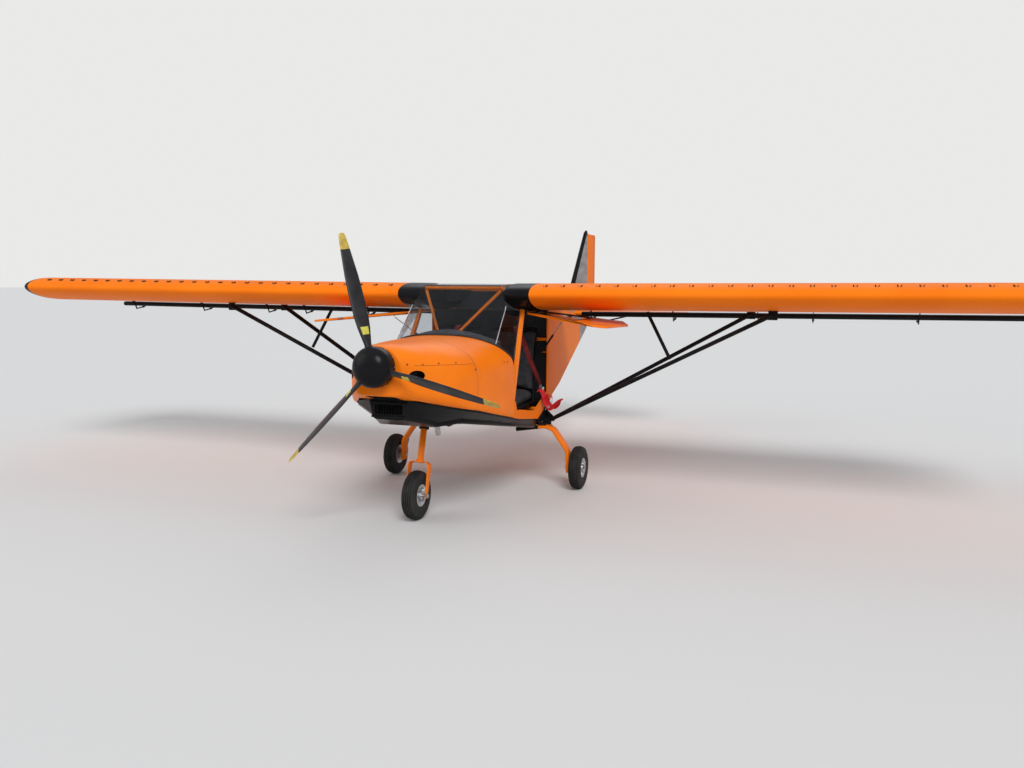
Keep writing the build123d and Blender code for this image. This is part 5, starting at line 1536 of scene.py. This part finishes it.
for side, word in SIDES:
    shoulder = bmesh.new()
    if side == LEFT:
        table = (
            (250.0, 574.0, 1296.0, (1, 0, 0.2)), (262.0, 540.0, 1304.0, (1, 0, 0.2)),
            (284.0, 500.0, 1276.0, (1, 0, 0.3)), (345.0, 479.0, 1190.0, (0.9, -0.2, 0.5)),
            (402.0, 460.0, 1060.0, (0.85, -0.3, 0.4)), (456.0, 456.0, 945.0, (0.8, -0.4, 0.3)),
            (498.0, 455.0, 850.0, (0.6, -0.7, 0.2)), (512.0, 452.0, 800.0, (0.3, -0.9, 0.0)),
        )
    else:
        table = (
            (-250.0, 574.0, 1296.0, (1, 0, 0)), (-250.0, 540.0, 1304.0, (1, 0, 0)),
            (-250.0, 500.0, 1276.0, (1, 0, 0)), (-252.0, 478.0, 1190.0, (1, 0, 0)),
            (-258.0, 444.0, 1000.0, (1, 0, 0)), (-262.0, 395.0, 850.0, (1, 0, 0)),
            (-262.0, 330.0, 806.0, (1, 0, 0)), (-262.0, 200.0, 800.0, (1, 0.1, 0)),
        )
    strap(shoulder, table, 0.022)
    stands_for = ["belts"] if side == LEFT else []
    add_piece(shoulder, f"shoulder_strap_{word}", "airframe", painted_shade_webbing, stands_for, 40.0)

lap = bmesh.new()
strap(lap, (
    (488.0, 446.0, 800.0, (0, 1, 0.2)), (512.0, 446.0, 806.0, (0, 1, 0.2)),
    (530.0, 448.0, 786.0, (0, 1, 0.1)), (541.0, 455.0, 730.0, (0.1, 1, 0)),
    (556.0, 462.0, 680.0, (0.3, 1, 0)), (580.0, 478.0, 650.0, (0.2, 1, 0.4)),
    (606.0, 500.0, 668.0, (-0.2, 1, 0.5)), (636.0, 520.0, 700.0, (-0.3, 1, 0.3)),
    (668.0, 540.0, 722.0, (0, 1, 0.2)),
), 0.03, 0.0034)
strap(lap, (
    (492.0, 420.0, 790.0, (0, 1, 0.1)), (514.0, 420.0, 800.0, (0, 1, 0.1)),
    (532.0, 424.0, 770.0, (0.1, 1, 0)), (546.0, 436.0, 716.0, (0.2, 1, 0)),
    (566.0, 450.0, 676.0, (0.3, 1, 0.2)), (590.0, 468.0, 690.0, (0, 1, 0.4)),
    (598.0, 480.0, 730.0, (-0.3, 1, 0.2)), (584.0, 486.0, 752.0, (-0.4, 1, 0)),
    (562.0, 480.0, 742.0, (-0.2, 1, 0)), (548.0, 470.0, 700.0, (0, 1, 0)),
), 0.028, 0.0034)
strap(lap, (
    (540.0, 500.0, 760.0, (0.2, 1, 0.3)), (552.0, 496.0, 715.0, (0.2, 1, 0.2)),
    (574.0, 494.0, 672.0, (0.2, 1, 0.3)), (612.0, 508.0, 654.0, (0, 1, 0.4)),
    (640.0, 530.0, 676.0, (-0.3, 1, 0.3)), (650.0, 540.0, 708.0, (-0.5, 1, 0)),
), 0.026, 0.0034)
add_piece(lap, "lap_belt_left", "airframe", red_webbing, smooth_angle=50.0)
lap_right = bmesh.new()
strap(lap_right, (
    (-450.0, 420.0, 796.0, (0.2, 1, 0)), (-400.0, 330.0, 800.0, (0.6, 1, 0)),
    (-330.0, 240.0, 800.0, (0.4, 1, 0)), (-240.0, 215.0, 802.0, (0, 1, 0)),
), 0.024, 0.003)
add_piece(lap_right, "lap_belt_right", "airframe", red_webbing, smooth_angle=50.0)
buckles = bmesh.new()
for spot, size in (
    (at(505.0, 452.0, 824.0), (0.008, 0.046, 0.03)), (at(522.0, 462.0, 812.0), (0.008, 0.05, 0.024)),
    (at(572.0, 452.0, 664.0), (0.03, 0.04, 0.02)), (at(-240.0, 205.0, 808.0), (0.05, 0.06, 0.014)),
):
    block(buckles, spot, size, 0.003)
add_piece(buckles, "belt_buckles", "airframe", plain_steel)

# The camera stands where the photograph was taken from
CAMERA_YAW = 0.33798
CAMERA_PITCH = 0.115315
CAMERA_ROLL = 0.005459
CAMERA_PLACE = (2648.8, -6345.0, 1670.1)
CAMERA_LENS = 31.038
ahead = math.cos(CAMERA_PITCH)
forward = Vector((-math.sin(CAMERA_YAW) * ahead, math.cos(CAMERA_YAW) * ahead, -math.sin(CAMERA_PITCH)))
level_right = Vector((math.cos(CAMERA_YAW), math.sin(CAMERA_YAW), 0.0))
level_up = level_right.cross(forward)
image_right = level_right * math.cos(CAMERA_ROLL) + level_up * math.sin(CAMERA_ROLL)
image_up = level_up * math.cos(CAMERA_ROLL) - level_right * math.sin(CAMERA_ROLL)
camera_data = bpy.data.cameras.new("camera")
camera_data.sensor_width = 36.0
camera_data.lens = CAMERA_LENS
camera = link_object("camera", camera_data)
turn = Matrix((image_right, image_up, -forward)).transposed().to_4x4()
camera.matrix_world = Matrix.Translation(at(*CAMERA_PLACE)) @ turn
camera_data.clip_end = 400.0
bpy.context.scene.camera = camera

# Floor, background and lamps
floor_mesh = bpy.data.meshes.new("floor")
floor_shape = bmesh.new()
bmesh.ops.create_grid(floor_shape, x_segments=1, y_segments=1, size=150.0)
floor_shape.to_mesh(floor_mesh)
floor_shape.free()
floor = link_object("floor", floor_mesh)
floor_paint = new_material("pale_floor", (0.70, 0.70, 0.69), 0.9)
floor_mesh.materials.append(floor_paint)

world = bpy.data.worlds.new("pale_studio")
world.use_nodes = True
bpy.context.scene.world = world
tree = world.node_tree
background = tree.nodes["Background"]
background.inputs["Color"].default_value = (0.93, 0.95, 1.0, 1.0)
background.inputs["Strength"].default_value = 0.5
seen = tree.nodes.new("ShaderNodeBackground")
seen.inputs["Color"].default_value = (0.82, 0.82, 0.81, 1.0)
seen.inputs["Strength"].default_value = 1.0
path = tree.nodes.new("ShaderNodeLightPath")
either = tree.nodes.new("ShaderNodeMath")
either.operation = "MAXIMUM"
mix = tree.nodes.new("ShaderNodeMixShader")
tree.links.new(path.outputs["Is Camera Ray"], either.inputs[0])
tree.links.new(path.outputs["Is Transmission Ray"], either.inputs[1])
tree.links.new(either.outputs[0], mix.inputs["Fac"])
tree.links.new(background.outputs[0], mix.inputs[1])
tree.links.new(seen.outputs[0], mix.inputs[2])
tree.links.new(mix.outputs[0], tree.nodes["World Output"].inputs["Surface"])


def soft_sun(name, direction, spread, strength):
    """Add a soft lamp that shines evenly along a direction."""
    data = bpy.data.lights.new(name, "SUN")
    data.angle = math.radians(spread)
    data.energy = strength
    lamp = link_object(name, data)
    lamp.rotation_mode = "QUATERNION"
    lamp.rotation_quaternion = Vector(direction).to_track_quat("-Z", "Y")


soft_sun("key_lamp", (-0.45, 0.75, -0.75), 25.0, 1.85)
soft_sun("fill_lamp", (0.8, 0.5, -0.45), 40.0, 0.45)
soft_sun("back_lamp", (0.1, -0.8, -0.7), 40.0, 0.35)

bpy.context.scene.view_settings.view_transform = "Standard"
